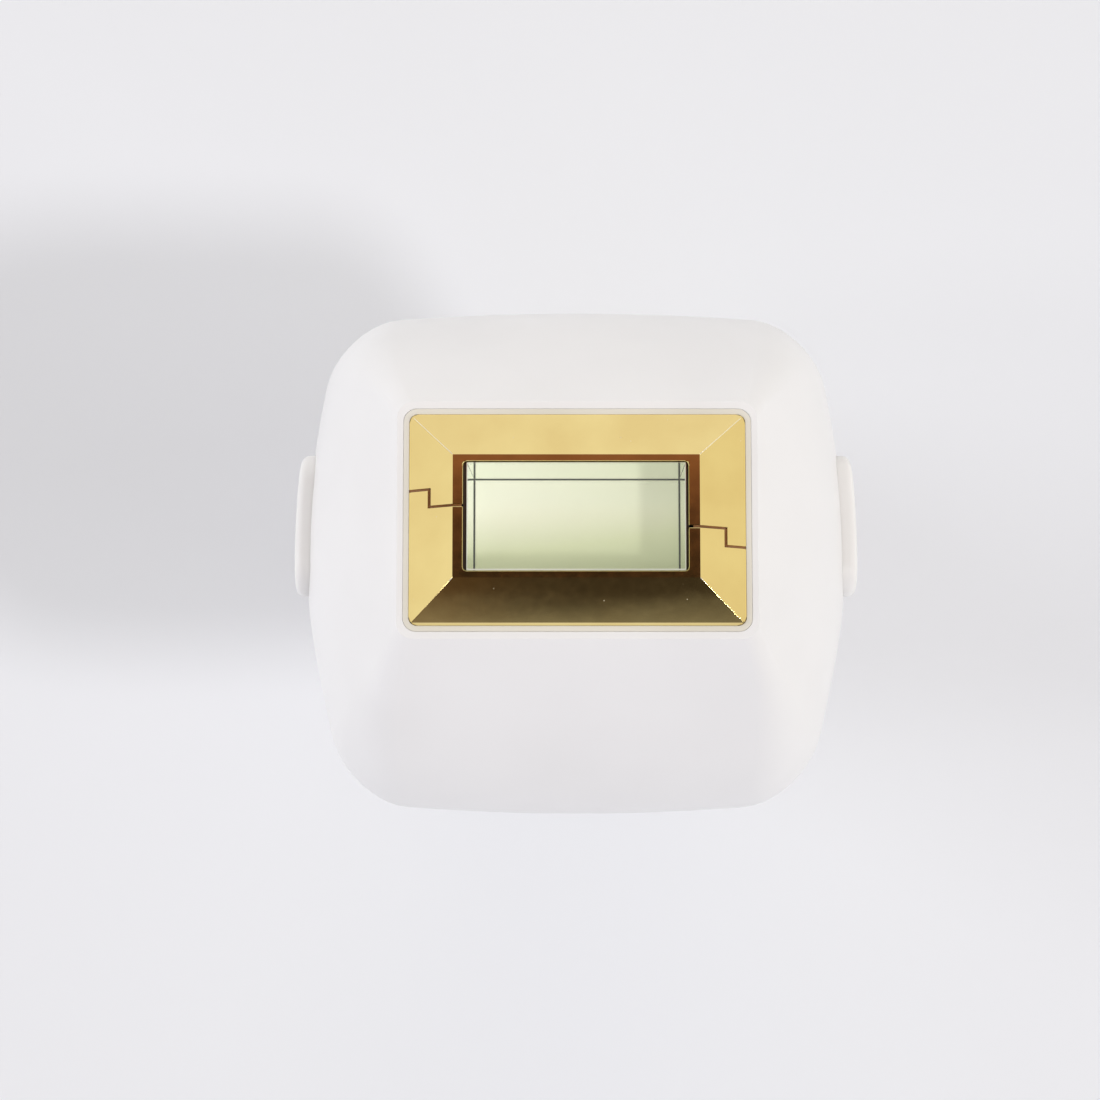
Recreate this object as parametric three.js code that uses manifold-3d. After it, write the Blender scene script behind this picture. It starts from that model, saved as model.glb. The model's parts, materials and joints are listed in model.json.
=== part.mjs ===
// Handheld IPL hair remover: an upright grip with a pull-off lamp head.
// Millimetres, +Z up. The origin is the middle of the rubber foot's underside, on the grip's axis, and
// the buttons face -Y. The head is built in a frame of its own: x is the width, y runs up the flash
// window, z is the head's axis, and z = 0 is its widest section. That frame leans back by HEAD_TILT.

import * as THREE from 'three';
import { LoftGeometry } from 'three/addons/geometries/LoftGeometry.js';
import { mergeVertices } from 'three/addons/utils/BufferGeometryUtils.js';
import Module from 'manifold-3d';

const wasm = await Module();
wasm.setup();

// ---------------------------------------------------------------- driving dimensions

const WALL = 2;
const GAP = 0.3;          // between pieces that rest on each other
const SLIP = 0.15;        // round a piece that fits in another

const HEAD_TILT = 10;     // degrees
const HEAD_AT = [0, -4, 130];

// The head swells from the rim round the window to its widest section, then draws in a little.
const RIM = { halfX: 20.4, halfY: 13.7, corner: 2.4, bowX: 0, bowY: 0 };
const WIDEST = { halfX: 31.7, halfY: 30.1, corner: 8.1, bowX: 3.9, bowY: 1.4 };
const RIM_Z = 27;
const DOME_POWER = 1.7;
const SKIRT_Z = -7.4;
const SKIRT_FALL = 110;   // the skirt draws in by z squared over this

// Contact electrodes: a raised frame in two alike halves, parted by a stepped gap.
const FRAME_HALF = [18.9, 12.15];
const FRAME_Z = [25, 27, 27.3, 29.4];
const FRAME_LEDGE = 0.3;
const LAND_HALF = [13.65, 6.95];
const APERTURE_HALF = [12.5, 6.25];
const SPLIT_HALF_GAP = 0.17;
const SPLIT_STEP_X = 16.3;
const SPLIT_Y = [1.2, 3.2];
const SEAL_WIDTH = 0.7;

// Light path, from the window down to the flash tube.
const WINDOW_Z = [27.7, 29.2];
const TUNNEL_Z = [20.45, 27.4];
const FILTER_HALF = [13.6, 7.4];
const FILTER_Z = [18.35, 20.15];
const TUBE_Z = 10.5;
const TUBE_RADIUS = 2.5;
const TUBE_HALF_LENGTH = 18.9;
const REFLECTOR_RADIUS = 6.6;
const REFLECTOR_TOP_Z = 16.7;
const CARRIER_HALF = [22.6, 10.4];
const CARRIER_Z = [-4.3, 18.05];

// The head's base, and what joins it to the grip.
const BASE_Z = [-7.1, -4.6];
const PIN_X = [-8, 0, 8];
const PIN_Y = -14;
const PIN_Z = [-18.5, -4.7];
const PIN_RADIUS = 1.2;
const GUIDE_X = 22.4;
const HEAD_SCREW_AT = [19, 19];
const RELEASE = { y: 4.2, z: 1, length: 16.8, height: 6.8, faceX: 33, backX: 26.4 };
const DECK_Z = [-14.3, -11.8];
const DECK = { halfX: 27.3, halfY: 25.2, corner: 7.6, bowX: 3.6, bowY: 1.3 };
const DECK_Y = 1.6;
const DECK_POST_AT = [24, 12];
const COLLAR_Z = [-9.7, -7.7];

// Grip sections: height, y of the middle, lean, half width, half depth, corner, bow of sides and faces.
const GRIP_SECTIONS = [
  [8.4, 0, 0, 22.6, 19.6, 13, 1, 0.8],
  [24, 0, 0, 21.9, 18.9, 12.8, 1, 0.8],
  [45, 0, 0, 21.2, 18.3, 12.5, 1, 0.8],
  [66, 0, 0, 21.4, 18.5, 12.5, 1, 0.8],
  [84, -0.4, 1.2, 22.8, 20, 12.5, 1.2, 0.9],
  [98, -1.6, 4, 25.4, 22.8, 12, 2, 1],
  [109, -3.4, 7.5, 28.4, 26.2, 11, 3, 1.2],
  [120.15, -5.74, 10, 30.8, 29.2, 8.1, 3.9, 1.4],
];
const PARTING_HALF_GAP = 0.1;
const CAP_Z = [0.8, 2.2, 8.1, 11.6];
const CAP_FLOOR_Z = 4.6;
const FOOT_HALF = [15.5, 12.5];
const FOOT_TOP_Z = 1.7;

// Controls on the front of the grip.
const BOARD_Y = [-10, -8.4];
const BOARD_Z = [22, 102];
const BOARD_HALF_X = 13;
const BOARD_POST_AT = [[-10.8, 99.5], [10.8, 99.5], [-10.8, 28], [10.8, 28]];
const FLASH = { z: 74, half: [6.5, 9], flange: [-16.15, -15], travel: 0.8 };
const POWER = { z: 49, half: [4.4, 4.4], flange: [-16, -15], travel: 0.5 };
const BUTTON_PROUD = 0.9;
const SWITCH_Y = [-13.4, -10.3];
const LEVEL_Z = 58.5;
const LEVEL_X = [-8, -4, 0, 4, 8];

// Power electronics, cooling and the DC inlet, towards the back of the grip.
const CAN_AT = [8.6, 6.5];
const CAN_RADIUS = 8;
const CAN_Z = [38.3, 72];
const POWER_BOARD_Z = [36.4, 38];
const FAN_Z = 92;
const FAN_Y = [9.1, 16.1];
const FAN_HALF = 12.5;
const FAN_BLADES = 7;
const VENT_ROWS = 5;
const VENT_PITCH = 4;
const VENT_HALF = [9.5, 0.9];
const INLET_Z = 17;
const CASE_SCREWS_AT = [[-17.5, 106], [17.5, 106], [-16.5, 24], [16.5, 24]];

// ---------------------------------------------------------------- materials

const finish = (color, roughness, metalness = 0, extra = {}) =>
  new THREE.MeshStandardMaterial({ color, roughness, metalness, ...extra });

const shellWhite = finish(0xf1efee, 0.35);
const ivory = finish(0xd8d0b4, 0.5);
const gold = finish(0xe8cf8b, 0.12, 1);
const mirror = finish(0xdfe3e0, 0.06, 1);
const aluminium = finish(0xb9bcc0, 0.3, 1);
const filterGlass = finish(0xe4e8c8, 0.1, 0, { transparent: true, opacity: 0.7 });
const quartz = finish(0xf3f6f8, 0.05, 0, { transparent: true, opacity: 0.35 });
const blackRubber = finish(0x1c1c1d, 0.8);
const greyPlastic = finish(0x5b5d60, 0.55);
const brass = finish(0xc9a24a, 0.3, 1);
const steel = finish(0x9ea1a4, 0.35, 1);
const boardGreen = finish(0x1d5a38, 0.5);
const sleeveBlack = finish(0x20242c, 0.35);
const frosted = finish(0xf4f4f0, 0.4, 0, { transparent: true, opacity: 0.8 });
const leadRed = finish(0xb3322b, 0.5);

// ---------------------------------------------------------------- solids

const degrees = THREE.MathUtils.degToRad;

function toSolid(geometry) {
  const bare = new THREE.BufferGeometry();
  bare.setAttribute('position', geometry.attributes.position);
  bare.setIndex(geometry.index);
  const merged = mergeVertices(bare, 1e-4);
  return new wasm.Manifold(new wasm.Mesh({
    numProp: 3,
    vertProperties: merged.attributes.position.array,
    triVerts: new Uint32Array(merged.index.array),
  }));
}

function toGeometry(solid) {
  const mesh = solid.getMesh();
  const geometry = new THREE.BufferGeometry();
  geometry.setAttribute('position', new THREE.BufferAttribute(mesh.vertProperties, 3));
  geometry.setIndex(new THREE.BufferAttribute(mesh.triVerts, 1));
  geometry.computeVertexNormals();
  return geometry;
}

const join = (first, ...rest) => toGeometry(rest.reduce((made, g) => made.add(toSolid(g)), toSolid(first)));
const cut = (first, ...rest) => toGeometry(rest.reduce((made, g) => made.subtract(toSolid(g)), toSolid(first)));
const common = (first, second) => toGeometry(toSolid(first).intersect(toSolid(second)));

// A box from its low corner to its high corner.
function block([x0, y0, z0], [x1, y1, z1]) {
  return new THREE.BoxGeometry(x1 - x0, y1 - y0, z1 - z0)
    .translate((x0 + x1) / 2, (y0 + y1) / 2, (z0 + z1) / 2);
}

// A cylinder along an axis. The other two coordinates, in order, are p and q.
function rod(axis, radius, from, to, [p, q] = [0, 0], sides = 12) {
  const made = new THREE.CylinderGeometry(radius, radius, to - from, sides);
  const middle = (from + to) / 2;
  if (axis === 'x') return made.rotateZ(-Math.PI / 2).translate(middle, p, q);
  if (axis === 'y') return made.translate(p, middle, q);
  return made.rotateX(Math.PI / 2).translate(p, q, middle);
}

// A screw along an axis: its head lies between the first two places and its shank ends at the third.
function screw(axis, at, headFrom, headTo, tip) {
  const shankFrom = tip > headTo ? headTo - 0.2 : tip;
  const shankTo = tip > headTo ? tip : headFrom + 0.2;
  const headRadius = 2.1;
  return join(rod(axis, headRadius, headFrom, headTo, at, 16), rod(axis, 1, shankFrom, shankTo, at, 8));
}

// A rectangle with round corners and bowed sides, as points in turn, counterclockwise.
function outline({ halfX, halfY, corner, bowX = 0, bowY = 0 }, cornerSteps = 4, sideSteps = 3) {
  const arcs = [[1, 1], [-1, 1], [-1, -1], [1, -1]].map(([sx, sy], quarter) =>
    Array.from({ length: cornerSteps + 1 }, (_, k) => {
      const turn = degrees(90 * (quarter + k / cornerSteps));
      return new THREE.Vector2(
        sx * (halfX - corner) + corner * Math.cos(turn),
        sy * (halfY - corner) + corner * Math.sin(turn),
      );
    }));
  const ring = arcs.flatMap((arc, i) => {
    const next = arcs[(i + 1) % arcs.length][0];
    const side = Array.from({ length: sideSteps - 1 }, (_, k) =>
      arc.at(-1).clone().lerp(next, (k + 1) / sideSteps));
    return [...arc, ...side];
  });
  return ring.map(({ x, y }) => new THREE.Vector2(
    x * (1 - (bowX / halfX) * (y / halfY) ** 2),
    y * (1 - (bowY / halfY) * (x / halfX) ** 2),
  ));
}

const inset = (section, by) => ({
  ...section,
  halfX: section.halfX - by,
  halfY: section.halfY - by,
  corner: Math.max(section.corner - by, 0.4),
});

const rectangle = ([halfX, halfY], corner) => ({ halfX, halfY, corner });
const level = (section, z, ...steps) => outline(section, ...steps).map(({ x, y }) => new THREE.Vector3(x, y, z));
const loft = (rings) => new LoftGeometry(rings, { capStart: true, capEnd: true });
const slab = (section, [z0, z1], ...steps) => loft([level(section, z0, ...steps), level(section, z1, ...steps)]);
const plate = (half, corner, z) => slab(rectangle(half, corner), z, 3, 1);
const grown = ([x, y], by) => [x + by, y + by];
const corners = ([x, y]) => [[x, y], [-x, y], [-x, -y], [x, -y]];

const mix = (a, b, t) => a + (b - a) * t;
const mixSections = (a, b, t) =>
  Object.fromEntries(Object.keys(a).map((key) => [key, mix(a[key], b[key], t)]));

// A prism with a rounded outline in y and z, running along x.
function prismAlongX(half, corner, [x0, x1], y, z) {
  const turn = new THREE.Matrix4().set(0, 0, 1, 0, 1, 0, 0, 0, 0, 1, 0, 0, 0, 0, 0, 1);
  return slab(rectangle(half, corner), [x0, x1], 5, 1).applyMatrix4(turn).translate(0, y, z);
}

// A prism with a rounded outline in x and z, running along y.
function prismAlongY(half, corner, [y0, y1], x, z) {
  return slab(rectangle(half, corner), [-y1, -y0], 5, 1).rotateX(Math.PI / 2).translate(x, 0, z);
}

// ---------------------------------------------------------------- the head's outer form

function headSection(z) {
  if (z <= 0) return inset(WIDEST, z ** 2 / SKIRT_FALL);
  const up = z / RIM_Z;
  return mixSections(RIM, WIDEST, 1 - up ** DOME_POWER);
}

const headForm = (heights, by) => loft(heights.map((z) => level(inset(headSection(z), by), z)));
const CAVITY_HEIGHTS = [SKIRT_Z - 1, 0, 8.5, 17.5, 24.5];
const headOuter = () => headForm([SKIRT_Z, -4, 0, 4, 8.5, 13, 17.5, 21.5, 24.5, 26.3, RIM_Z], 0);

const releaseHalf = [RELEASE.length / 2, RELEASE.height / 2];
const releasePrism = (x, by) =>
  prismAlongX(grown(releaseHalf, by), releaseHalf[1] + by - 0.05, x, RELEASE.y, RELEASE.z);

function headHousing() {
  const cavity = headForm(CAVITY_HEIGHTS, WALL);
  const mouth = plate(grown(FRAME_HALF, SEAL_WIDTH + SLIP), 1.6, [20, 30]);
  const bosses = corners(HEAD_SCREW_AT).map((at) =>
    common(rod('z', 2.8, BASE_Z[1] + GAP, 20, at), headOuter()));
  const screwHoles = corners(HEAD_SCREW_AT).map((at) => rod('z', 1.2, -6, 3.6, at, 10));
  const releaseHoles = [releasePrism([26, 36], SLIP), releasePrism([-36, -26], SLIP)];
  return cut(join(cut(headOuter(), cavity), ...bosses), mouth, ...screwHoles, ...releaseHoles);
}

// A release button: a pill that follows the head's side, with a flange that stops it from inside.
function releaseButton(side) {
  const reach = side > 0 ? [RELEASE.backX, 36] : [-36, -RELEASE.backX];
  const pad = common(releasePrism(reach, 0), slab({ ...WIDEST, halfX: RELEASE.faceX }, [-20, 20]));
  return join(pad, common(releasePrism(reach, 1.1), headForm(CAVITY_HEIGHTS, WALL + GAP)));
}

// A coil spring along x, between the carrier's side and a release button's flange.
function releaseSpring(side) {
  const radius = 1.9;
  const turns = 2.5;
  const [from, to] = [CARRIER_HALF[0] + 0.65, RELEASE.backX - 0.65];
  const points = Array.from({ length: 36 }, (_, k) => {
    const turn = 2 * Math.PI * turns * (k / 35);
    return new THREE.Vector3(
      side * mix(from, to, k / 35),
      RELEASE.y + radius * Math.cos(turn),
      RELEASE.z + side * radius * Math.sin(turn),
    );
  });
  return wire(points, 0.3, 6, 48);
}

function wire(points, radius, sides, steps) {
  const section = new THREE.Shape(Array.from({ length: sides }, (_, k) =>
    new THREE.Vector2(radius, 0).rotateAround(new THREE.Vector2(), (2 * Math.PI * k) / sides)));
  const path = new THREE.CatmullRomCurve3(points);
  return new THREE.ExtrudeGeometry(section, { steps, extrudePath: path });
}

// ---------------------------------------------------------------- window, electrodes and lamp

function electrodeFrame() {
  const rings = [
    level(rectangle(FRAME_HALF, 1), FRAME_Z[0], 2, 1),
    level(rectangle(FRAME_HALF, 1), FRAME_Z[1], 2, 1),
    level(rectangle(grown(FRAME_HALF, -FRAME_LEDGE), 0.8), FRAME_Z[2], 2, 1),
    level(rectangle(LAND_HALF, 0.5), FRAME_Z[3], 2, 1),
  ];
  const aperture = plate(APERTURE_HALF, 0.6, [FRAME_Z[0] - 1, FRAME_Z[3] + 1]);
  return cut(loft(rings), aperture);
}

// The upper half lies above a line that steps down across the frame; the lower half is its half turn.
function upperElectrode() {
  const [near, far] = SPLIT_Y.map((y) => y + SPLIT_HALF_GAP);
  const [low, lowest] = SPLIT_Y.map((y) => SPLIT_HALF_GAP - y);
  const leftStep = SPLIT_HALF_GAP - SPLIT_STEP_X;
  const rightStep = SPLIT_HALF_GAP + SPLIT_STEP_X;
  const line = [
    [-25, far], [leftStep, far], [leftStep, near], [-8, near],
    [8, low], [rightStep, low], [rightStep, lowest], [25, lowest],
    [25, 20], [-25, 20],
  ];
  const shape = new THREE.Shape(line.map(([x, y]) => new THREE.Vector2(x, y)));
  const upper = new THREE.ExtrudeGeometry(shape, { depth: 10, bevelEnabled: false }).translate(0, 0, 22);
  return common(electrodeFrame(), upper);
}

const lowerElectrode = () => upperElectrode().rotateZ(Math.PI);

function sealRing() {
  const outer = plate(grown(FRAME_HALF, SEAL_WIDTH), 1.5, [24.9, 27]);
  const inner = plate(grown(FRAME_HALF, SLIP), 1, [24, 28]);
  return cut(outer, inner);
}

function lightTunnel() {
  const neck = plate(grown(APERTURE_HALF, -0.12), 0.5, [TUNNEL_Z[0] + 0.5, TUNNEL_Z[1]]);
  const flange = plate(FILTER_HALF, 0.6, [TUNNEL_Z[0], TUNNEL_Z[0] + 0.8]);
  const bore = loft([
    level(rectangle(grown(APERTURE_HALF, -0.85), 0.3), TUNNEL_Z[0] - 1, 2, 1),
    level(rectangle(grown(APERTURE_HALF, -0.45), 0.4), TUNNEL_Z[1] + 1, 2, 1),
  ]);
  return cut(join(neck, flange), bore);
}

// A trough with a round bottom and straight sides, open towards the filter.
function reflector() {
  const trough = (radius, half, top) => join(
    rod('x', radius, -half, half, [0, TUBE_Z], 32),
    block([-half, -radius, TUBE_Z], [half, radius, top]),
  );
  return cut(trough(REFLECTOR_RADIUS, 19.5, REFLECTOR_TOP_Z), trough(REFLECTOR_RADIUS - 0.6, 25, 20));
}

// The moulding that carries the reflector, the filter and the tunnel's flange.
function lampCarrier() {
  const body = join(
    plate(CARRIER_HALF, 2, CARRIER_Z),
    plate(grown(FRAME_HALF, SLIP), 1.5, [16, FRAME_Z[0] - GAP]),
  );
  const trough = block([-19.8, -6.9, 3.6], [19.8, 6.9, 16.95]);
  const light = block([-12.9, -6.6, 16], [12.9, 6.6, 19]);
  const pocket = plate(grown(FILTER_HALF, SLIP), 0.6, [CARRIER_Z[1], 26]);
  const hollow = block([-18, -8, -6], [18, 8, 2]);
  const capHoles = [rod('x', 3.1, 18, 24, [0, TUBE_Z], 20), rod('x', 3.1, -24, -18, [0, TUBE_Z], 20)];
  return cut(body, trough, light, pocket, hollow, ...capHoles);
}

// ---------------------------------------------------------------- the head's base and the deck below it

function basePlate() {
  const body = slab(inset(headSection(BASE_Z[0]), WALL + 0.45), BASE_Z);
  const pinHoles = PIN_X.map((x) => rod('z', PIN_RADIUS + SLIP, -8, -4, [x, PIN_Y]));
  const guideHoles = [-GUIDE_X, GUIDE_X].map((x) => rod('z', 2.5, -8, -4, [x, PIN_Y]));
  const screwHoles = corners(HEAD_SCREW_AT).flatMap((at) => [
    rod('z', 1.3, -8, -4, at),
    rod('z', 2.5, -8, -5.6, at, 20),
  ]);
  return cut(body, ...pinHoles, ...guideHoles, ...screwHoles);
}

const socketHalf = [12.5, 4.4];

function deck() {
  const body = slab(DECK, DECK_Z).translate(0, DECK_Y, 0);
  const guides = [-GUIDE_X, GUIDE_X].map((x) => rod('z', 2.2, DECK_Z[0] + 1, -3.8, [x, PIN_Y]));
  const socketHole = plate(grown(socketHalf, SLIP), 1, [-16, -10]).translate(0, PIN_Y, 0);
  const screwHoles = deckScrewsAt.flatMap((at) => [
    rod('z', 1.3, -16, -10, at),
    rod('z', 2.5, -13.5, -10, at, 20),
  ]);
  return cut(join(body, ...guides), socketHole, ...screwHoles);
}

const deckScrewsAt = [[-DECK_POST_AT[0], DECK_POST_AT[1]], DECK_POST_AT];

function socketBlock() {
  const body = plate(socketHalf, 1, [-21, -10.3]).translate(0, PIN_Y, 0);
  return cut(body, ...PIN_X.map((x) => rod('z', PIN_RADIUS + 0.25, -19.5, -9, [x, PIN_Y])));
}

function collarRing() {
  const top = sectionOf(GRIP_SECTIONS.at(-1));
  return cut(slab(inset(top, 0.5), COLLAR_Z), slab(inset(top, 3.4), [COLLAR_Z[0] - 1, COLLAR_Z[1] + 1]));
}

// ---------------------------------------------------------------- the grip's outer form

const sectionOf = ([, , , halfX, halfY, corner, bowX, bowY]) => ({ halfX, halfY, corner, bowX, bowY });

function gripRing(row, by, along = 0) {
  const [z, y, lean] = row;
  const place = new THREE.Matrix4().makeTranslation(0, y, z)
    .multiply(new THREE.Matrix4().makeRotationX(degrees(-lean)));
  return level(inset(sectionOf(row), by), along).map((point) => point.applyMatrix4(place));
}

const gripOuter = () => loft(GRIP_SECTIONS.map((row) => gripRing(row, 0)));
const gripSwollen = () => loft(GRIP_SECTIONS.map((row) => gripRing(row, -BUTTON_PROUD)));

function gripTube() {
  const first = GRIP_SECTIONS[0];
  const last = GRIP_SECTIONS.at(-1);
  const inner = loft([
    gripRing(first, WALL, -3),
    ...GRIP_SECTIONS.map((row) => gripRing(row, WALL)),
    gripRing(last, WALL, 3),
  ]);
  return cut(gripOuter(), inner);
}

const inHead = (geometry) => geometry.rotateX(degrees(-HEAD_TILT)).translate(...HEAD_AT);
const deckPost = (x, y) => inHead(rod('z', 2.6, -27, DECK_Z[0] - GAP, [x, y]));
const deckPostBore = (x, y) => inHead(rod('z', 1.2, -24, -13, [x, y], 10));

function frontShell() {
  const half = common(gripTube(), block([-50, -60, 0], [50, -PARTING_HALF_GAP, 140]));
  const posts = [
    ...BOARD_POST_AT.map(([x, z]) => rod('y', 1.9, -40, BOARD_Y[0] - GAP, [x, z])),
    ...CASE_SCREWS_AT.map(([x, z]) => rod('y', 3, -40, -PARTING_HALF_GAP, [x, z])),
    deckPost(-DECK_POST_AT[0], -DECK_POST_AT[1]),
    deckPost(DECK_POST_AT[0], -DECK_POST_AT[1]),
  ].map((post) => common(post, gripOuter()));
  const openings = [
    prismAlongY(grown(FLASH.half, SLIP), FLASH.half[0], [-40, -15.5], 0, FLASH.z),
    prismAlongY(grown(POWER.half, SLIP), POWER.half[0], [-40, -15.5], 0, POWER.z),
    ...LEVEL_X.map((x) => rod('y', 1.05, -40, -15, [x, LEVEL_Z])),
  ];
  const bores = [
    ...BOARD_POST_AT.map(([x, z]) => rod('y', 1.2, -15, -9, [x, z], 10)),
    ...CASE_SCREWS_AT.map(([x, z]) => rod('y', 1.2, -8.5, 1, [x, z], 10)),
  ];
  return cut(join(half, ...posts), ...openings, ...bores);
}

function rearShell() {
  const half = common(gripTube(), block([-50, PARTING_HALF_GAP, 0], [50, 60, 140]));
  const posts = [
    ...CASE_SCREWS_AT.map(([x, z]) => rod('y', 3.6, PARTING_HALF_GAP, 40, [x, z])),
    ...corners([10.4, 10.4]).map(([x, z]) => rod('y', 1.1, FAN_Y[0] + 1, 40, [x, FAN_Z + z])),
    block([14, 0.5, 31], [19, 9, POWER_BOARD_Z[0] - GAP]),
    block([-19, 0.5, 31], [-14, 9, POWER_BOARD_Z[0] - GAP]),
    deckPost(-DECK_POST_AT[0], DECK_POST_AT[1]),
    deckPost(DECK_POST_AT[0], DECK_POST_AT[1]),
  ].map((post) => common(post, gripOuter()));
  const vents = Array.from({ length: VENT_ROWS }, (_, row) => {
    const z = FAN_Z + (row - (VENT_ROWS - 1) / 2) * VENT_PITCH;
    return prismAlongY(VENT_HALF, 0.85, [16.5, 40], 0, z);
  });
  const wells = CASE_SCREWS_AT.flatMap(([x, z]) => [
    rod('y', 1.25, -1, 40, [x, z], 10),
    rod('y', 2.6, 6, 40, [x, z], 20),
  ]);
  const bores = deckScrewsAt.map(([x, y]) => deckPostBore(x, y));
  return cut(join(half, ...posts), ...vents, ...wells, ...bores, rod('y', 5.2, 12, 40, [0, INLET_Z], 24));
}

function baseCap() {
  const section = sectionOf(GRIP_SECTIONS[0]);
  const body = loft([
    level(inset(section, 1.8), CAP_Z[0]),
    level(inset(section, 0.4), CAP_Z[1]),
    level(section, CAP_Z[2]),
  ]);
  const spigot = slab(inset(section, WALL + SLIP + 0.1), [CAP_Z[2] - 1, CAP_Z[3]]);
  const hollow = slab(inset(section, WALL + 2), [CAP_FLOOR_Z, CAP_Z[3] + 1]);
  const recess = plate(grown(FOOT_HALF, SLIP), 6, [-1, FOOT_TOP_Z + GAP]);
  return cut(join(body, spigot), hollow, recess);
}

// A front button: a domed pad that follows the grip's face, a flange inside and a stem to its switch.
function frontButton({ z, half, flange, travel }) {
  const pad = common(prismAlongY(half, half[0] - 0.1, [-40, flange[1]], 0, z), gripSwollen());
  const stop = prismAlongY(grown(half, 1.1), half[0] + 0.9, flange, 0, z);
  const stemEnd = SWITCH_Y[0] - GAP - travel;
  return join(pad, stop, rod('y', 2, flange[0], stemEnd, [0, z]));
}

function levelLight() {
  const bar = block([-9.6, -15.7, LEVEL_Z - 1.8], [9.6, -14.4, LEVEL_Z + 1.8]);
  return join(bar, ...LEVEL_X.map((x) => rod('y', 0.85, -18.2, -15, [x, LEVEL_Z])));
}

// ---------------------------------------------------------------- electronics, fan and inlet

function controlBoard() {
  const body = block([-BOARD_HALF_X, BOARD_Y[0], BOARD_Z[0]], [BOARD_HALF_X, BOARD_Y[1], BOARD_Z[1]]);
  return cut(body, ...BOARD_POST_AT.map(([x, z]) => rod('y', 1.3, -12, -7, [x, z])));
}

// A low tactile switch: a square body with a round plunger.
function tactileSwitch(z) {
  const [front, back] = SWITCH_Y;
  return join(block([-3, front + 1, z - 3], [3, back, z + 3]), rod('y', 1.6, front, back, [0, z]));
}

// A flash capacitor, with the rolled groove near its foot.
function flashCapacitor() {
  const [bottom, top] = CAN_Z;
  const r = CAN_RADIUS;
  const profile = [
    [0, bottom], [r - 0.8, bottom], [r, bottom + 0.8], [r, bottom + 2.6], [r - 0.9, bottom + 3.4],
    [r, bottom + 4.2], [r, top - 0.8], [r - 0.8, top], [0, top],
  ].map(([x, z]) => new THREE.Vector2(x, z));
  return new THREE.LatheGeometry(profile, 24).rotateX(Math.PI / 2);
}

function heatSink() {
  const body = block([-9, -4, 26], [9, 10, POWER_BOARD_Z[0] - GAP]);
  const slots = [-6, -2, 2, 6].map((x) => block([x - 1.1, -5, 25], [x + 1.1, 11, 33]));
  return cut(body, ...slots);
}

function fanFrame() {
  const [front, back] = FAN_Y;
  const body = block([-FAN_HALF, front, FAN_Z - FAN_HALF], [FAN_HALF, back, FAN_Z + FAN_HALF]);
  const holes = corners([10.4, 10.4]).map(([x, z]) => rod('y', 1.4, front - 1, back + 1, [x, FAN_Z + z]));
  const ring = cut(body, rod('y', 11.4, front - 1, back + 1, [0, FAN_Z], 32), ...holes);
  const motor = rod('y', 4.4, back - 1.4, back, [0, FAN_Z], 20);
  const spokes = [90, 210, 330].map((turn) =>
    block([3, back - 1.4, -0.8], [11.9, back, 0.8]).rotateY(degrees(turn)).translate(0, 0, FAN_Z));
  return join(ring, motor, ...spokes);
}

// The rotor: a hub with raked blades. It turns about the y axis through the hub.
function fanRotor() {
  const [front, back] = FAN_Y;
  const middle = (front + 0.4 + back - 1.8) / 2;
  const blades = Array.from({ length: FAN_BLADES }, (_, k) =>
    block([3.4, -0.4, -3], [10.8, 0.4, 3]).rotateX(degrees(55)).rotateY(degrees((360 * k) / FAN_BLADES))
      .translate(0, middle, FAN_Z));
  return join(rod('y', 4.1, front + 0.4, back - 1.8, [0, FAN_Z], 20), ...blades);
}

function dcInlet() {
  const collar = rod('y', 5, 9, 19.3, [0, INLET_Z], 24);
  const body = block([-5.5, 6, INLET_Z - 5.2], [5.5, 16.4, INLET_Z + 5]);
  return cut(join(collar, body), rod('y', 3.2, 10, 21, [0, INLET_Z], 20));
}

// A lead from the contact socket, past the edge of the control board, to the power board.
function lampLead(side) {
  const route = [
    [8, -21.6, 110.6], [8, -18, 107], [7.5, -9.5, 105], [9, -4.2, 100],
    [14.5, -4.6, 88], [16, -5.4, 60], [15.5, -5, 42], [15.2, -4.6, 38.4],
  ].map(([x, y, z]) => new THREE.Vector3(side * x, y, z));
  return wire(route, 0.85, 8, 30);
}

// ---------------------------------------------------------------- assembly

const device = new THREE.Group();
const head = new THREE.Group();
head.position.set(...HEAD_AT);
head.rotation.x = degrees(-HEAD_TILT);
device.add(head);

function put(group, name, geometry, material) {
  const mesh = new THREE.Mesh(geometry, material);
  mesh.name = name;
  group.add(mesh);
  return mesh;
}

const sides = [['left', -1], ['right', 1]];
const numbered = (list) => list.map((item, i) => [i + 1, item]);

put(head, 'head_housing', headHousing(), shellWhite);
put(head, 'window_seal', sealRing(), ivory);
put(head, 'electrode_upper', upperElectrode(), gold);
put(head, 'electrode_lower', lowerElectrode(), gold);
put(head, 'flash_window', plate(grown(APERTURE_HALF, -0.12), 0.5, WINDOW_Z), filterGlass);
put(head, 'light_tunnel', lightTunnel(), mirror);
put(head, 'cutoff_filter', plate(FILTER_HALF, 0.6, FILTER_Z), filterGlass);
put(head, 'lamp_reflector', reflector(), mirror);
put(head, 'flash_tube', rod('x', TUBE_RADIUS, -TUBE_HALF_LENGTH, TUBE_HALF_LENGTH, [0, TUBE_Z], 20), quartz);
put(head, 'lamp_carrier', lampCarrier(), greyPlastic);
put(head, 'head_base', basePlate(), greyPlastic);
put(head, 'head_board', block([-9, 12, -4.3], [9, 17.5, -3.2]), boardGreen);

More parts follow.
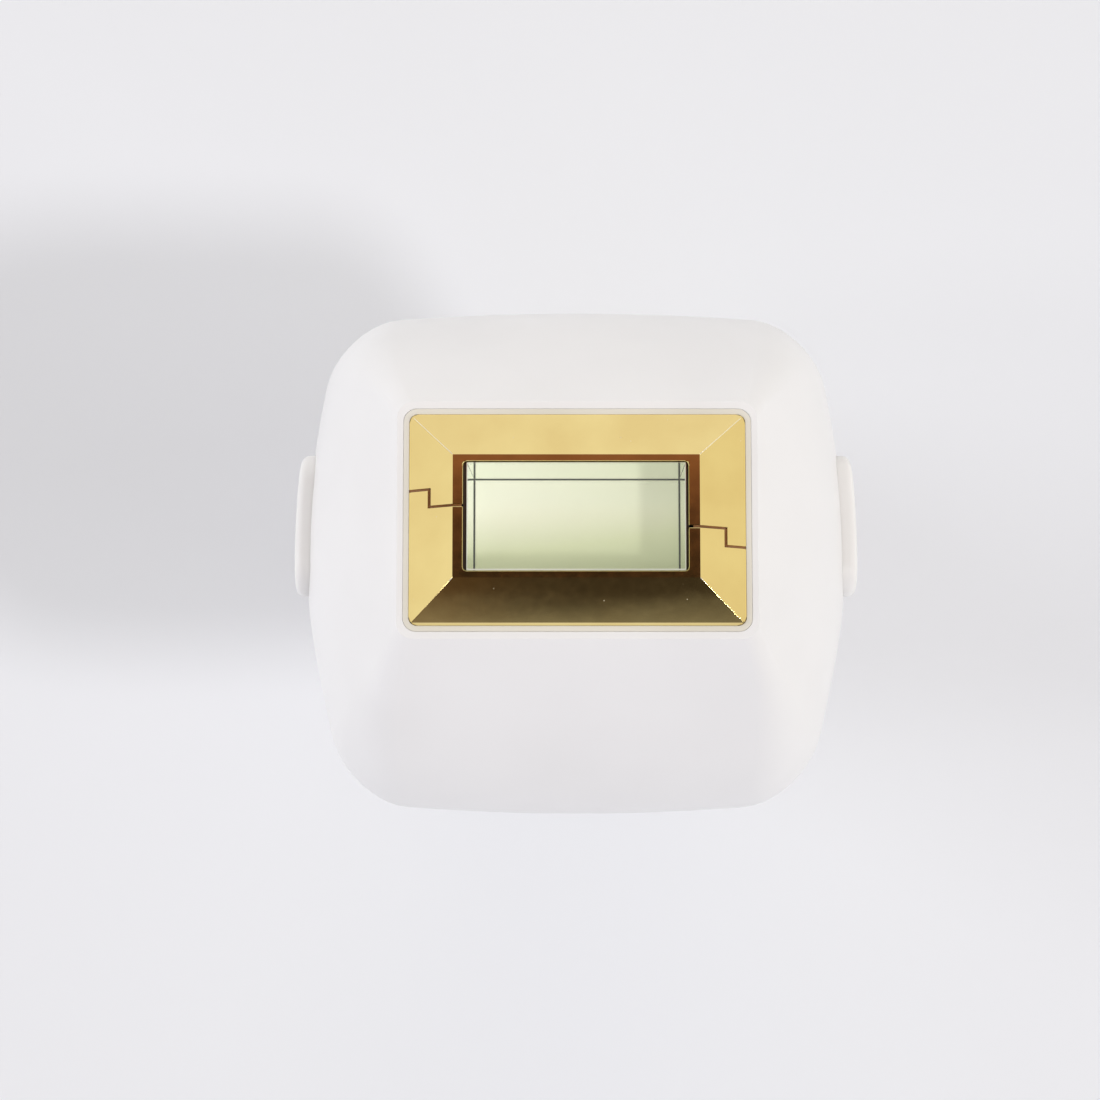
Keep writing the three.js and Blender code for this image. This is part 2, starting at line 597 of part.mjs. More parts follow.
for (const [name, side] of sides) {
  const cap = side > 0 ? [19.2, 25] : [-25, -19.2];
  put(head, `flash_tube_cap_${name}`, rod('x', 2.8, ...cap, [0, TUBE_Z], 20), steel);
  put(head, `release_button_${name}`, releaseButton(side), shellWhite);
  put(head, `release_spring_${name}`, releaseSpring(side), steel);
}
for (const [i, x] of numbered(PIN_X)) {
  put(head, `contact_pin_${i}`, rod('z', PIN_RADIUS, ...PIN_Z, [x, PIN_Y]), brass);
}
for (const [i, at] of numbered(corners(HEAD_SCREW_AT))) {
  put(head, `head_screw_${i}`, screw('z', at, -7.05, -5.9, 3), steel);
}

put(head, 'deck', deck(), greyPlastic);
put(head, 'contact_socket', socketBlock(), sleeveBlack);
put(head, 'collar_ring', collarRing(), gold);
for (const [i, at] of numbered(deckScrewsAt)) {
  put(head, `deck_screw_${i}`, screw('z', at, -13.2, -12, -22), steel);
}

put(device, 'front_shell', frontShell(), shellWhite);
put(device, 'rear_shell', rearShell(), shellWhite);
put(device, 'base_cap', baseCap(), shellWhite);
put(device, 'rubber_foot', plate(FOOT_HALF, 6, [0, FOOT_TOP_Z]), blackRubber);
put(device, 'flash_button', frontButton(FLASH), gold);
put(device, 'power_button', frontButton(POWER), shellWhite);
put(device, 'flash_switch', tactileSwitch(FLASH.z), sleeveBlack);
put(device, 'power_switch', tactileSwitch(POWER.z), sleeveBlack);
put(device, 'level_light', levelLight(), frosted);
put(device, 'control_board', controlBoard(), boardGreen);
put(device, 'power_board', plate([16.5, 11], 6, POWER_BOARD_Z).translate(0, 3, 0), boardGreen);
put(device, 'heat_sink', heatSink(), aluminium);
put(device, 'trigger_transformer', block([-6, -8.1, 76], [6, -1, 90]), sleeveBlack);
put(device, 'fan_frame', fanFrame(), sleeveBlack);
put(device, 'fan_rotor', fanRotor(), sleeveBlack);
put(device, 'dc_inlet', dcInlet(), sleeveBlack);
put(device, 'dc_inlet_pin', rod('y', 1, 10.3, 18, [0, INLET_Z], 12), brass);

for (const [name, side] of sides) {
  put(device, `flash_capacitor_${name}`, flashCapacitor().translate(side * CAN_AT[0], CAN_AT[1], 0), sleeveBlack);
  put(device, `lamp_lead_${name}`, lampLead(side), leadRed);
}
for (const [i, [x, z]] of numbered(CASE_SCREWS_AT)) {
  put(device, `case_screw_${i}`, screw('y', [x, z], 6.3, 7.6, -8), steel);
}
for (const [i, [x, z]] of numbered(BOARD_POST_AT.slice(1, 3))) {
  put(device, `board_screw_${i}`, screw('y', [x, z], BOARD_Y[1] + GAP, BOARD_Y[1] + 1.5, -14.5), steel);
}

export default device;
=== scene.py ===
"""The looks of a handheld IPL hair remover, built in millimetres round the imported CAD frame."""

import json
import math

import bmesh
import bpy
from mathutils import Matrix, Vector


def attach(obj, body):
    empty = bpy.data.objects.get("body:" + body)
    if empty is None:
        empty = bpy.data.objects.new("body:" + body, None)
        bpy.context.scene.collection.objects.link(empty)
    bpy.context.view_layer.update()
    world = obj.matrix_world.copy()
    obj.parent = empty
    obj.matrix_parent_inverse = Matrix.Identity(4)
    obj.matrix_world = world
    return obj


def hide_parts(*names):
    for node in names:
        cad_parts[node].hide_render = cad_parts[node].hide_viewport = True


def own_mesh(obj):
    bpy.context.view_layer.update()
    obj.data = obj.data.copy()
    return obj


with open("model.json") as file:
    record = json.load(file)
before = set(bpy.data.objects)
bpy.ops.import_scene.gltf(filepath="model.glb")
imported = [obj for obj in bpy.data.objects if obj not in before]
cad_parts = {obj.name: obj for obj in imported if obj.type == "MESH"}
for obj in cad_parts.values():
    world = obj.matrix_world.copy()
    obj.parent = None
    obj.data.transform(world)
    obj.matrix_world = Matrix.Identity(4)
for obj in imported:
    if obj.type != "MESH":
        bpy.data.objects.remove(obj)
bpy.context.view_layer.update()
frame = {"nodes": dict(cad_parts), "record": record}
nodes = frame["nodes"]

MM = 0.001

# ---------------------------------------------------------------- driving dimensions, in millimetres

WALL = 2.0

# The head's own frame: x is the width, y runs up the window, z is the axis, 0 is the widest section.
# pinch is the share of its width that a section loses toward its front end.
RIM = dict(half_x=20.3, half_y=13.6, corner=2.0, bow_x=0.0, bow_y=0.0, pinch=0.0)
WIDEST = dict(half_x=31.7, half_y=29.65, corner=8.1, bow_x=3.9, bow_y=1.4, pinch=0.03)
RIM_Z = 27.0
DOME_POWER = 1.7
SKIRT_Z = -7.4
SKIRT_FALL = 110.0
WINDOW_TOP_Z = 29.2

FRAME_HALF = (18.8, 11.98)
FRAME_BACK_Z = 25
LAND_Z = 29.4
LAND_HALF = (13.75, 6.95)
LAND_SHIFT = -0.14
APERTURE_HALF = (12.55, 6.2)
APERTURE_SHIFT = -0.2
SPLIT_HALF_GAP = 0.13
SPLIT_STEP_X = 16.5
SPLIT_Y = (1.2, 3.2)
SEAL_WIDTH = 0.65

PANE = dict(half_x=12.19, half_y=6.1, corner=0.12)
PANE_SHIFT = -0.14
FILTER_HALF = (13.6, 7.4)
FILTER_Z = (18.35, 19.05)
TUNNEL_Z = (19.15, 29.0)
TUNNEL_STEP_Z = (24.9, 25.1)
TUNNEL_BACK_HALF = (11.65, 6.07)

RELEASE_Y, RELEASE_Z = 4.0, 1.0
RELEASE_HALF = (8.4, 3.4)
RELEASE_FACE_X, RELEASE_BACK_X = 33.0, 26.4
COLLAR_Z = (-9.7, -7.7)

# Height, y of the middle, lean in degrees, half width, half depth, corner, bow of sides and faces.
GRIP_SECTIONS = [
    (8.4, 0, 0, 22.6, 19.6, 13, 1, 0.8),
    (24, 0, 0, 21.9, 18.9, 12.8, 1, 0.8),
    (45, 0, 0, 21.2, 18.3, 12.5, 1, 0.8),
    (66, 0, 0, 21.4, 18.5, 12.5, 1, 0.8),
    (84, -0.4, 1.2, 22.8, 20, 12.5, 1.2, 0.9),
    (98, -1.6, 4, 25.4, 22.8, 12, 2, 1),
    (109, -3.4, 7.5, 28.4, 26.2, 11, 3, 1.2),
    (120.15, -5.74, 10, 30.8, 28.8, 8.1, 3.9, 1.4),
]
PARTING_HALF_GAP = 0.1
FLASH_Z, FLASH_HALF, FLASH_BACK_Y, FLASH_DISH = 74.0, (6.5, 9.0), -15.0, 0.45
POWER_Z, POWER_HALF, POWER_BACK_Y, POWER_DISH = 49.0, (4.4, 4.4), -15.0, 0.3
BUTTON_PROUD = 0.9
LEVEL_Z = 58.5
LEVEL_X = (-8, -4, 0, 4, 8)
FAN_Z = 92.0
VENT_ROWS, VENT_PITCH, VENT_HALF = 5, 4.0, (9.5, 0.9)
INLET_Z = 17.0
CASE_SCREWS_AT = ((-17.5, 106), (17.5, 106), (-16.5, 24), (16.5, 24))

# ---------------------------------------------------------------- places taken from the frame

face = next(m for m in frame["record"]["mounts"] if m["name"] == "treatment_face")
HEAD_AXIS = Vector(face["axis"]).normalized()
HEAD_ORIGIN = Vector(face["pos_m"]) - HEAD_AXIS * WINDOW_TOP_Z * MM
HEAD_TILT = math.atan2(HEAD_AXIS.y, HEAD_AXIS.z)
IN_HEAD = Matrix.Translation(HEAD_ORIGIN) @ Matrix.Rotation(-HEAD_TILT, 4, "X")
IN_DEVICE = Matrix.Identity(4)


# ---------------------------------------------------------------- materials


def new_material(name):
    """A material with one Principled shader, and its nodes, links and texture coordinates."""
    material = bpy.data.materials.new(name)
    material.use_nodes = True
    tree = material.node_tree
    shader = tree.nodes["Principled BSDF"]
    coords = tree.nodes.new("ShaderNodeTexCoord")
    return material, tree, shader, coords.outputs["Object"]


def noise(tree, coords, scale, detail=3.0, roughness=0.5, stretch=(1, 1, 1)):
    """Noise over the surface, its scale in features per metre."""
    mapping = tree.nodes.new("ShaderNodeMapping")
    mapping.inputs["Scale"].default_value = stretch
    texture = tree.nodes.new("ShaderNodeTexNoise")
    texture.inputs["Scale"].default_value = scale
    texture.inputs["Detail"].default_value = detail
    texture.inputs["Roughness"].default_value = roughness
    tree.links.new(coords, mapping.inputs["Vector"])
    tree.links.new(mapping.outputs["Vector"], texture.inputs["Vector"])
    return texture.outputs["Fac"]


def ramp(tree, source, stops):
    """A colour ramp. Each stop is a position and a colour."""
    node = tree.nodes.new("ShaderNodeValToRGB")
    elements = node.color_ramp.elements
    while len(elements) < len(stops):
        elements.new(0.5)
    for element, (position, color) in zip(elements, stops):
        element.position = position
        element.color = (*color, 1)
    tree.links.new(source, node.inputs["Fac"])
    return node.outputs["Color"]


def spread(tree, source, low, high, target):
    """Feeds a socket with the source, mapped from the middle of its range to low and high."""
    node = tree.nodes.new("ShaderNodeMapRange")
    node.inputs["From Min"].default_value = 0.3
    node.inputs["From Max"].default_value = 0.7
    node.inputs["To Min"].default_value = low
    node.inputs["To Max"].default_value = high
    tree.links.new(source, node.inputs["Value"])
    tree.links.new(node.outputs["Result"], target)


def bump(tree, shader, height, strength, distance):
    node = tree.nodes.new("ShaderNodeBump")
    node.inputs["Strength"].default_value = strength
    node.inputs["Distance"].default_value = distance
    tree.links.new(height, node.inputs["Height"])
    tree.links.new(node.outputs["Normal"], shader.inputs["Normal"])


def moulded(name, dark, light, rough=(0.3, 0.4), grain=4000.0, grain_strength=0.05, coat=0.0):
    """Moulded plastic: a faint drift of tone, uneven gloss and a fine grain."""
    material, tree, shader, coords = new_material(name)
    tone = noise(tree, coords, 45, 2)
    tree.links.new(ramp(tree, tone, [(0.35, dark), (0.65, light)]), shader.inputs["Base Color"])
    spread(tree, noise(tree, coords, 160, 4), *rough, shader.inputs["Roughness"])
    bump(tree, shader, noise(tree, coords, grain, 2), grain_strength, 0.00002)
    shader.inputs["Coat Weight"].default_value = coat
    shader.inputs["Coat Roughness"].default_value = 0.12
    return material


def plated(name, dark, light, rough=(0.05, 0.1), wave=0.02, stretch=(1, 1, 1), specks=False):
    """Polished or plated metal: slight tone drift, a faint waviness and uneven gloss."""
    material, tree, shader, coords = new_material(name)
    shader.inputs["Metallic"].default_value = 1.0
    tone = noise(tree, coords, 120, 3, stretch=stretch)
    tree.links.new(ramp(tree, tone, [(0.35, dark), (0.65, light)]), shader.inputs["Base Color"])
    spread(tree, noise(tree, coords, 700, 5, 0.65, stretch), *rough, shader.inputs["Roughness"])
    bump(tree, shader, noise(tree, coords, 260, 2, stretch=stretch), wave, 0.0002)
    if specks:
        add_specks(tree, shader, coords)
    return material


def add_specks(tree, shader, coords):
    """Scattered fine specks, duller and paler than the metal."""
    cells = tree.nodes.new("ShaderNodeTexVoronoi")
    cells.inputs["Scale"].default_value = 520
    tree.links.new(coords, cells.inputs["Vector"])
    near = tree.nodes.new("ShaderNodeMapRange")
    near.inputs["From Min"].default_value = 0.035
    near.inputs["From Max"].default_value = 0.02
    near.inputs["To Max"].default_value = 0.55
    tree.links.new(cells.outputs["Distance"], near.inputs["Value"])
    mix = tree.nodes.new("ShaderNodeMix")
    mix.data_type = "RGBA"
    plain = shader.inputs["Base Color"].links[0].from_socket
    tree.links.new(near.outputs["Result"], mix.inputs["Factor"])
    tree.links.new(plain, mix.inputs[6])
    mix.inputs[7].default_value = (0.9, 0.86, 0.76, 1)
    tree.links.new(mix.outputs[2], shader.inputs["Base Color"])
    rough = tree.nodes.new("ShaderNodeMath")
    rough.operation = "ADD"
    plain = shader.inputs["Roughness"].links[0].from_socket
    tree.links.new(plain, rough.inputs[0])
    tree.links.new(near.outputs["Result"], rough.inputs[1])
    tree.links.new(rough.outputs["Value"], shader.inputs["Roughness"])


def clear(name, tint, deep, alpha, rough=(0.01, 0.03)):
    """A thin clear pane, which lets light through and keeps its own gloss."""
    material, tree, shader, coords = new_material(name)
    tone = ramp(tree, noise(tree, coords, 70, 2), [(0.3, deep), (0.7, tint)])
    tree.links.new(tone, shader.inputs["Base Color"])
    spread(tree, noise(tree, coords, 400, 3), *rough, shader.inputs["Roughness"])
    shader.inputs["Alpha"].default_value = alpha
    shader.inputs["IOR"].default_value = 1.5
    return material


def filter_material():
    """Filter glass with painted light: a painted reflection, pale at the back and left and fading toward its
    front and its right end, also emitted as a painted glow.
    """
    material, tree, shader, coords = new_material("filter_glass")
    gradient = tree.nodes.new("ShaderNodeMapping")
    gradient.vector_type = "POINT"
    centre = IN_HEAD @ Vector((0, 0, TUNNEL_Z[0] * MM))
    gradient.inputs["Location"].default_value = -centre
    separate = tree.nodes.new("ShaderNodeSeparateXYZ")
    tree.links.new(coords, gradient.inputs["Vector"])
    tree.links.new(gradient.outputs["Vector"], separate.inputs["Vector"])
    across = tree.nodes.new("ShaderNodeMapRange")
    across.inputs["From Min"].default_value = 0.0125
    across.inputs["From Max"].default_value = -0.0125
    across.inputs["To Min"].default_value = 0.08
    across.inputs["To Max"].default_value = 0.33
    up = tree.nodes.new("ShaderNodeMapRange")
    up.interpolation_type = "SMOOTHSTEP"
    up.inputs["From Min"].default_value = -0.0062
    up.inputs["From Max"].default_value = 0.004
    up.inputs["To Max"].default_value = 0.55
    both = tree.nodes.new("ShaderNodeMath")
    both.operation = "ADD"
    tree.links.new(separate.outputs["X"], across.inputs["Value"])
    tree.links.new(separate.outputs["Y"], up.inputs["Value"])
    tree.links.new(across.outputs["Result"], both.inputs[0])
    tree.links.new(up.outputs["Result"], both.inputs[1])
    # Painted reflection: brightest at the back-left, darker toward the front and the right end.
    stops = [(0.0, (0.34, 0.375, 0.205)), (0.45, (0.66, 0.70, 0.45)), (0.84, (0.98, 0.99, 0.81))]
    painted_glow = ramp(tree, both.outputs["Value"], stops)
    tree.links.new(painted_glow, shader.inputs["Base Color"])
    tree.links.new(painted_glow, shader.inputs["Emission Color"])
    spread(tree, noise(tree, coords, 300, 3), 0.12, 0.2, shader.inputs["Roughness"])
    # A painted glow: the glass emits light though it is no lamp.
    shader.inputs["Emission Strength"].default_value = 0.3
    return material


WHITE = moulded("shell_white", (0.80, 0.795, 0.79), (0.83, 0.825, 0.82), (0.30, 0.40), coat=0.15)
WHITE_KEY = moulded("key_white", (0.81, 0.80, 0.785), (0.84, 0.83, 0.815), (0.34, 0.44))
IVORY = moulded("seal_ivory", (0.68, 0.65, 0.56), (0.75, 0.72, 0.64), (0.4, 0.5))
GOLD = plated("gold_plate", (0.80, 0.62, 0.25), (0.86, 0.69, 0.29), specks=True)
# A paler gold that paints the highlight along the frame's mitres.
GOLD_HIGHLIGHT = plated("gold_painted_highlight", (0.95, 0.85, 0.58), (0.98, 0.91, 0.68), (0.3, 0.4))
GOLD_TRIM = plated("gold_trim", (0.72, 0.53, 0.22), (0.80, 0.61, 0.28), (0.16, 0.24))
MIRROR = plated("mirror_metal", (0.95, 0.98, 0.93), (0.975, 0.99, 0.95), (0.02, 0.035), wave=0.002)
STEEL = plated("steel", (0.45, 0.45, 0.46), (0.62, 0.62, 0.63), (0.22, 0.34))
ALUMINIUM = plated("aluminium", (0.62, 0.63, 0.65), (0.74, 0.75, 0.77), (0.25, 0.38), stretch=(1, 12, 1))
BRASS = plated("brass", (0.62, 0.46, 0.18), (0.78, 0.6, 0.27), (0.14, 0.24))
WINDOW = clear("window_glass", (0.88, 0.92, 0.78), (0.80, 0.87, 0.70), 0.06)
GROUND_EDGE = moulded("ground_edge", (0.68, 0.72, 0.66), (0.88, 0.90, 0.86), (0.25, 0.4))
FILTER = filter_material()
QUARTZ = clear("quartz", (0.95, 0.96, 0.97), (0.88, 0.90, 0.92), 0.35)
GAP_BROWN = moulded("gap_brown", (0.20, 0.085, 0.025), (0.34, 0.15, 0.045), (0.3, 0.4))
DARK_LINE = moulded("dark_gasket", (0.010, 0.012, 0.009), (0.022, 0.022, 0.018), (0.5, 0.6))
GASKET_BROWN = moulded("window_gasket", (0.016, 0.007, 0.004), (0.034, 0.014, 0.008), (0.5, 0.6))
GREY = moulded("grey_plastic", (0.085, 0.09, 0.095), (0.12, 0.125, 0.13), (0.45, 0.6), 2500, 0.25)
BLACK = moulded("black_plastic", (0.010, 0.010, 0.011), (0.022, 0.022, 0.024), (0.4, 0.55), 2500, 0.25)
RUBBER = moulded("foot_rubber", (0.012, 0.012, 0.012), (0.03, 0.03, 0.03), (0.7, 0.85), 3000, 0.4)
BOARD = moulded("board", (0.012, 0.07, 0.03), (0.02, 0.11, 0.05), (0.3, 0.45), 1500, 0.2)
LEAD = moulded("lead", (0.32, 0.02, 0.015), (0.45, 0.04, 0.03), (0.35, 0.5))
LIGHT_GUIDE = moulded("light_guide", (0.70, 0.71, 0.70), (0.82, 0.83, 0.82), (0.15, 0.25), coat=0.5)

BY_SLOT = {
    "shell_white": WHITE, "seal_ivory": IVORY, "gold_plate": GOLD, "window_glass": WINDOW,
    "filter_glass": FILTER, "mirror_metal": MIRROR, "quartz": QUARTZ, "grey_plastic": GREY,
    "black_plastic": BLACK, "foot_rubber": RUBBER, "steel": STEEL, "aluminium": ALUMINIUM,
    "brass": BRASS, "board": BOARD, "lead": LEAD, "light_guide": LIGHT_GUIDE,
}


def paint_cad_nodes():
    slots = {part["node"]: part["material_slot"] for part in frame["record"]["subparts"]}
    for name, node in nodes.items():
        node.data.materials.clear()
        node.data.materials.append(BY_SLOT[slots[name]])


# ---------------------------------------------------------------- meshes from rings


def ease(value):
    """A smooth step from 0 to 1."""
    value = min(max(value, 0.0), 1.0)
    return value * value * (3 - 2 * value)


def outline(half_x, half_y, corner, bow_x=0.0, bow_y=0.0, pinch=0.0, arc=10, side=12):
    """Points round a rectangle with round corners and bowed sides, anticlockwise from +x."""
    ring = []
    signs = ((1, 1), (-1, 1), (-1, -1), (1, -1))
    for quarter, (sx, sy) in enumerate(signs):
        middle = Vector((sx * (half_x - corner), sy * (half_y - corner)))
        for k in range(arc + 1):
            turn = math.radians(90 * (quarter + k / arc))
            ring.append(middle + corner * Vector((math.cos(turn), math.sin(turn))))
        sx, sy = signs[(quarter + 1) % 4]
        turn = math.radians(90 * (quarter + 1))
        start = ring[-1]
        end = Vector((sx * (half_x - corner), sy * (half_y - corner)))
        end = end + corner * Vector((math.cos(turn), math.sin(turn)))
        ring += [start.lerp(end, k / side) for k in range(1, side)]
    return [
        Vector((
            x * (1 - bow_x / half_x * (y / half_y) ** 2 - pinch * ease(-1.5 * y / half_y - 0.13)),
            y * (1 - bow_y / half_y * (x / half_x) ** 2),
        ))
        for x, y in ring
    ]


def inset(section, by):
    smaller = dict(section)
    smaller["half_x"] -= by
    smaller["half_y"] -= by
    smaller["corner"] = max(section["corner"] - by, 0.15)
    return smaller


def box_section(half, corner):
    return dict(half_x=half[0], half_y=half[1], corner=corner, bow_x=0.0, bow_y=0.0)


def level(section, z, arc=10, side=12):
    return [Vector((x, y, z)) for x, y in outline(**section, arc=arc, side=side)]


def skin(name, rings, loop=False, place=IN_DEVICE, sharp=32):
    """A closed mesh through rings of points in millimetres, its ends capped or joined in a loop."""
    shape = bmesh.new()
    loops = [[shape.verts.new(place @ (point * MM)) for point in ring] for ring in rings]
    pairs = list(zip(loops, loops[1:]))
    if loop:
        pairs.append((loops[-1], loops[0]))
    for low, high in pairs:
        for i in range(len(low)):
            j = (i + 1) % len(low)
            shape.faces.new((low[i], low[j], high[j], high[i]))
    if not loop:
        shape.faces.new(list(reversed(loops[0])))
        shape.faces.new(loops[-1])
    return from_bmesh(name, shape, sharp)


def from_bmesh(name, shape, sharp=32):
    bmesh.ops.recalc_face_normals(shape, faces=shape.faces)
    mesh = bpy.data.meshes.new(name)
    shape.to_mesh(mesh)
    shape.free()
    piece = bpy.data.objects.new(name, mesh)
    bpy.context.scene.collection.objects.link(piece)
    smooth(piece, sharp)
    return piece


def smooth(piece, sharp=32):
    piece.data.shade_smooth()
    piece.data.set_sharp_from_angle(angle=math.radians(sharp))


def merged(name, pieces, sharp=32):
    """One object from several, which are removed."""
    shape = bmesh.new()
    for piece in pieces:
        shape.from_mesh(piece.data)
        bpy.data.objects.remove(piece)
    return from_bmesh(name, shape, sharp)


def carve(piece, cutter, operation="DIFFERENCE", sharp=32):
    """Cuts a piece with another, which is removed."""
    modifier = piece.modifiers.new("carve", "BOOLEAN")
    modifier.operation = operation
    modifier.solver = "EXACT"
    modifier.object = cutter
    bake_modifiers(piece, sharp)
    bpy.data.objects.remove(cutter)


def bake_modifiers(piece, sharp=32):
    bpy.context.view_layer.update()
    depsgraph = bpy.context.evaluated_depsgraph_get()
    mesh = bpy.data.meshes.new_from_object(piece.evaluated_get(depsgraph))
    piece.modifiers.clear()
    piece.data = mesh
    mesh.name = piece.name
    if sharp is not None:
        smooth(piece, sharp)


def soften(piece, width, limit=40, segments=2, sharp=32, even=True):
    """Rounds a piece's sharp edges by a width in millimetres; even keeps wide faces looking flat."""
    modifier = piece.modifiers.new("soften", "BEVEL")
    modifier.width = width * MM
    modifier.segments = segments
    modifier.limit_method = "ANGLE"
    modifier.angle_limit = math.radians(limit)
    bake_modifiers(piece, sharp)
    if not even:
        return
    modifier = piece.modifiers.new("even", "WEIGHTED_NORMAL")
    modifier.weight = 100
    modifier.keep_sharp = True
    bake_modifiers(piece, None)


def rounding(r, steps=3):
    """Pairs of offsets round a quarter circle: the first falls from r to 0, the second rises to r."""
    turns = [math.radians(90 * k / steps) for k in range(steps + 1)]
    return [(r * (1 - math.sin(turn)), r * (1 - math.cos(turn))) for turn in turns]


def rounded_rings(section, z0, z1, r, steps=3, arc=10, side=12):
    """Rings of a slab between two heights, its edges rounded by r."""
    edge = rounding(r, steps)
    low = [level(inset(section, falling), z0 + rising, arc, side) for falling, rising in edge]
    high = [level(inset(section, rising), z1 - falling, arc, side) for falling, rising in edge]
    return low + high


def slab(name, section, z0, z1, r=0.2, place=IN_DEVICE, arc=10, side=6):
    return skin(name, rounded_rings(section, z0, z1, r, arc=arc, side=side), place=place)


def tube_ring(name, outer, inner, z0, z1, r, place):
    """A band between two outlines with rounded edges, as one closed loop of rings."""
    edge = rounding(r)
    rings = [level(inset(outer, falling), z0 + rising) for falling, rising in edge]
    rings += [level(inset(outer, rising), z1 - falling) for falling, rising in edge]
    rings += [level(inset(inner, -falling), z1 - rising) for falling, rising in edge]
    rings += [level(inset(inner, -rising), z0 + falling) for falling, rising in edge]
    return skin(name, rings, loop=True, place=place)


def turned(name, profile, axis_point, along, sides=32, place=IN_DEVICE, sharp=32):
    """A lathed solid: profile holds (distance along, radius) and the ends close on the axis."""
    along = Vector(along).normalized()
    across = along.orthogonal().normalized()
    other = along.cross(across)
    rings = []
    for distance, radius in profile:
        middle = Vector(axis_point) + along * distance
        ring = []
        for k in range(sides):
            turn = 2 * math.pi * k / sides
            ring.append(middle + radius * (math.cos(turn) * across + math.sin(turn) * other))
        rings.append(ring)
    return skin(name, rings, place=place, sharp=sharp)


def pill_along_y(name, half, y0, y1, x, z, corner=None):
    """A prism with a rounded outline in x and z, between two places along y."""
    section = box_section(half, corner or min(half) - 0.01)
    rings = [
        [Vector((x + p.x, y, z + p.y)) for p in outline(**section, side=4)] for y in (y1, y0)
    ]
    return skin(name, rings)


def finish(piece, body, slot, material, *replaced):
    """Puts a piece on its body, gives it a material, and hides the CAD parts that it replaces."""
    piece.data.materials.clear()
    piece.data.materials.append(material)
    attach(piece, body)
    if replaced:
        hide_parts(*replaced)
    return piece


# ---------------------------------------------------------------- lamp head


def head_section(z):
    """The head's outline at a height: a skirt that draws in slightly below, a dome to the rim above."""
    if z <= 0:
        return inset(WIDEST, z ** 2 / SKIRT_FALL)
    share = 1 - (z / RIM_Z) ** DOME_POWER
    section = {key: RIM[key] + (WIDEST[key] - RIM[key]) * share for key in RIM}
    section["corner"] = RIM["corner"] + (WIDEST["corner"] - RIM["corner"]) * share ** 1.8
    return section


def head_shell():
    """The white dome as one closed wall, with a mouth for the frame and holes for the buttons."""
    edge = 0.35
    mouth_back = 24.5
    rings = [level(inset(head_section(SKIRT_Z), edge), SKIRT_Z)]
    rings.append(level(inset(head_section(SKIRT_Z), 0.1), SKIRT_Z + 0.1))
    rings += [level(head_section(z), z) for z in (SKIRT_Z + edge, -6, -4.5, -3, -1.5, 0)]
    steps = 34
    for k in range(1, steps):
        z = (RIM_Z - 0.12) * k / steps
        rings.append(level(head_section(z), z))
    mouth = box_section((FRAME_HALF[0] + SEAL_WIDTH + 0.02, FRAME_HALF[1] + SEAL_WIDTH + 0.02), 1.5)
    rings.append(level(inset(RIM, 0.12), RIM_Z - 0.02))
    rings.append(level(inset(RIM, 0.3), RIM_Z))
    rings.append(level(inset(mouth, -0.06), RIM_Z))
    rings.append(level(mouth, RIM_Z - 0.06))
    rings.append(level(mouth, mouth_back))
    rings += [level(inset(head_section(z), WALL), z) for z in (mouth_back, 21, 17.5, 13, 8.5, 4, 0, -4)]
    rings.append(level(inset(head_section(SKIRT_Z), WALL), SKIRT_Z))
    shell = skin("head_shell", rings, loop=True, place=IN_HEAD)
    carve(shell, merged("release_holes", [release_prism(side, 0.2) for side in (-1, 1)]))
    soften(shell, 0.18, 55)
    return finish(shell, "lamp_head", "shell_white", WHITE, "head_housing")


def release_prism(side, gap):
    half = (RELEASE_HALF[0] + gap, RELEASE_HALF[1] + gap)
    section = box_section(half, half[1] - 0.05)
    xs = (24, 36) if side > 0 else (-36, -24)
    rings = [[Vector((x, RELEASE_Y + p.x, RELEASE_Z + p.y)) for p in outline(**section, side=6)] for x in xs]
    return skin("release_prism", rings, place=IN_HEAD)


def release_face(y):
    """How far out the button's face stands, following the bow of the head's side."""
    return RELEASE_FACE_X * (1 - WIDEST["bow_x"] / RELEASE_FACE_X * (y / WIDEST["half_y"]) ** 2)


def release_button(side, name):
    section = box_section(RELEASE_HALF, RELEASE_HALF[1] - 0.05)
    steps = [
        (0, None), (0, -1.0), (0.07, -0.6), (0.25, -0.3), (0.55, -0.1), (1.0, 0), (1.8, 0.05), (2.7, 0.08),
    ]
    rings = []
    for by, drop in steps:
        ring = []
        for p in outline(**inset(section, by), side=16):
            y = RELEASE_Y + p.x
            x = RELEASE_BACK_X if drop is None else release_face(y) + drop
            ring.append(Vector((side * x, y, RELEASE_Z + p.y)))
        rings.append(ring)
    pad = skin("pad", rings, place=IN_HEAD)
    ridges = [release_ridge(side, RELEASE_Y + offset) for offset in (-5.4, -3.8, -2.2)]
    flange = box_section((RELEASE_HALF[0] + 1.1, RELEASE_HALF[1] + 1.1), RELEASE_HALF[1] + 1.0)
    corners = outline(**flange, side=6)
    xs = (RELEASE_BACK_X - 0.01, RELEASE_BACK_X + 1.0)
    back = [[Vector((side * x, RELEASE_Y + p.x, RELEASE_Z + p.y)) for p in corners] for x in xs]
    stop = skin("stop", back, place=IN_HEAD)
    button = merged(f"release_pad_{name}", [pad, *ridges, stop])
    return finish(button, f"release_{name}", "shell_white", WHITE_KEY, f"release_button_{name}")


def release_ridge(side, y):
    """A low rounded ridge across the button's face."""
    half_height, half_width, rise = 2.2, 0.42, 0.2
    profile = []
    for k in range(9):
        turn = math.pi * k / 8
        x = release_face(y) - 0.12 + rise * math.sin(turn)
        profile.append((half_width * math.cos(turn), x))
    rings = []
    for z, shrink in ((-1, 0.35), (-0.9, 0.8), (-0.75, 1), (0.75, 1), (0.9, 0.8), (1, 0.35)):
        ring = []
        for dy, x in profile:
            inner = release_face(y) - 0.3
            across = side * (inner + (x - inner) * shrink)
            ring.append(Vector((across, y + dy * shrink, RELEASE_Z + z * half_height)))
        rings.append(ring)
    return skin("ridge", rings, place=IN_HEAD)


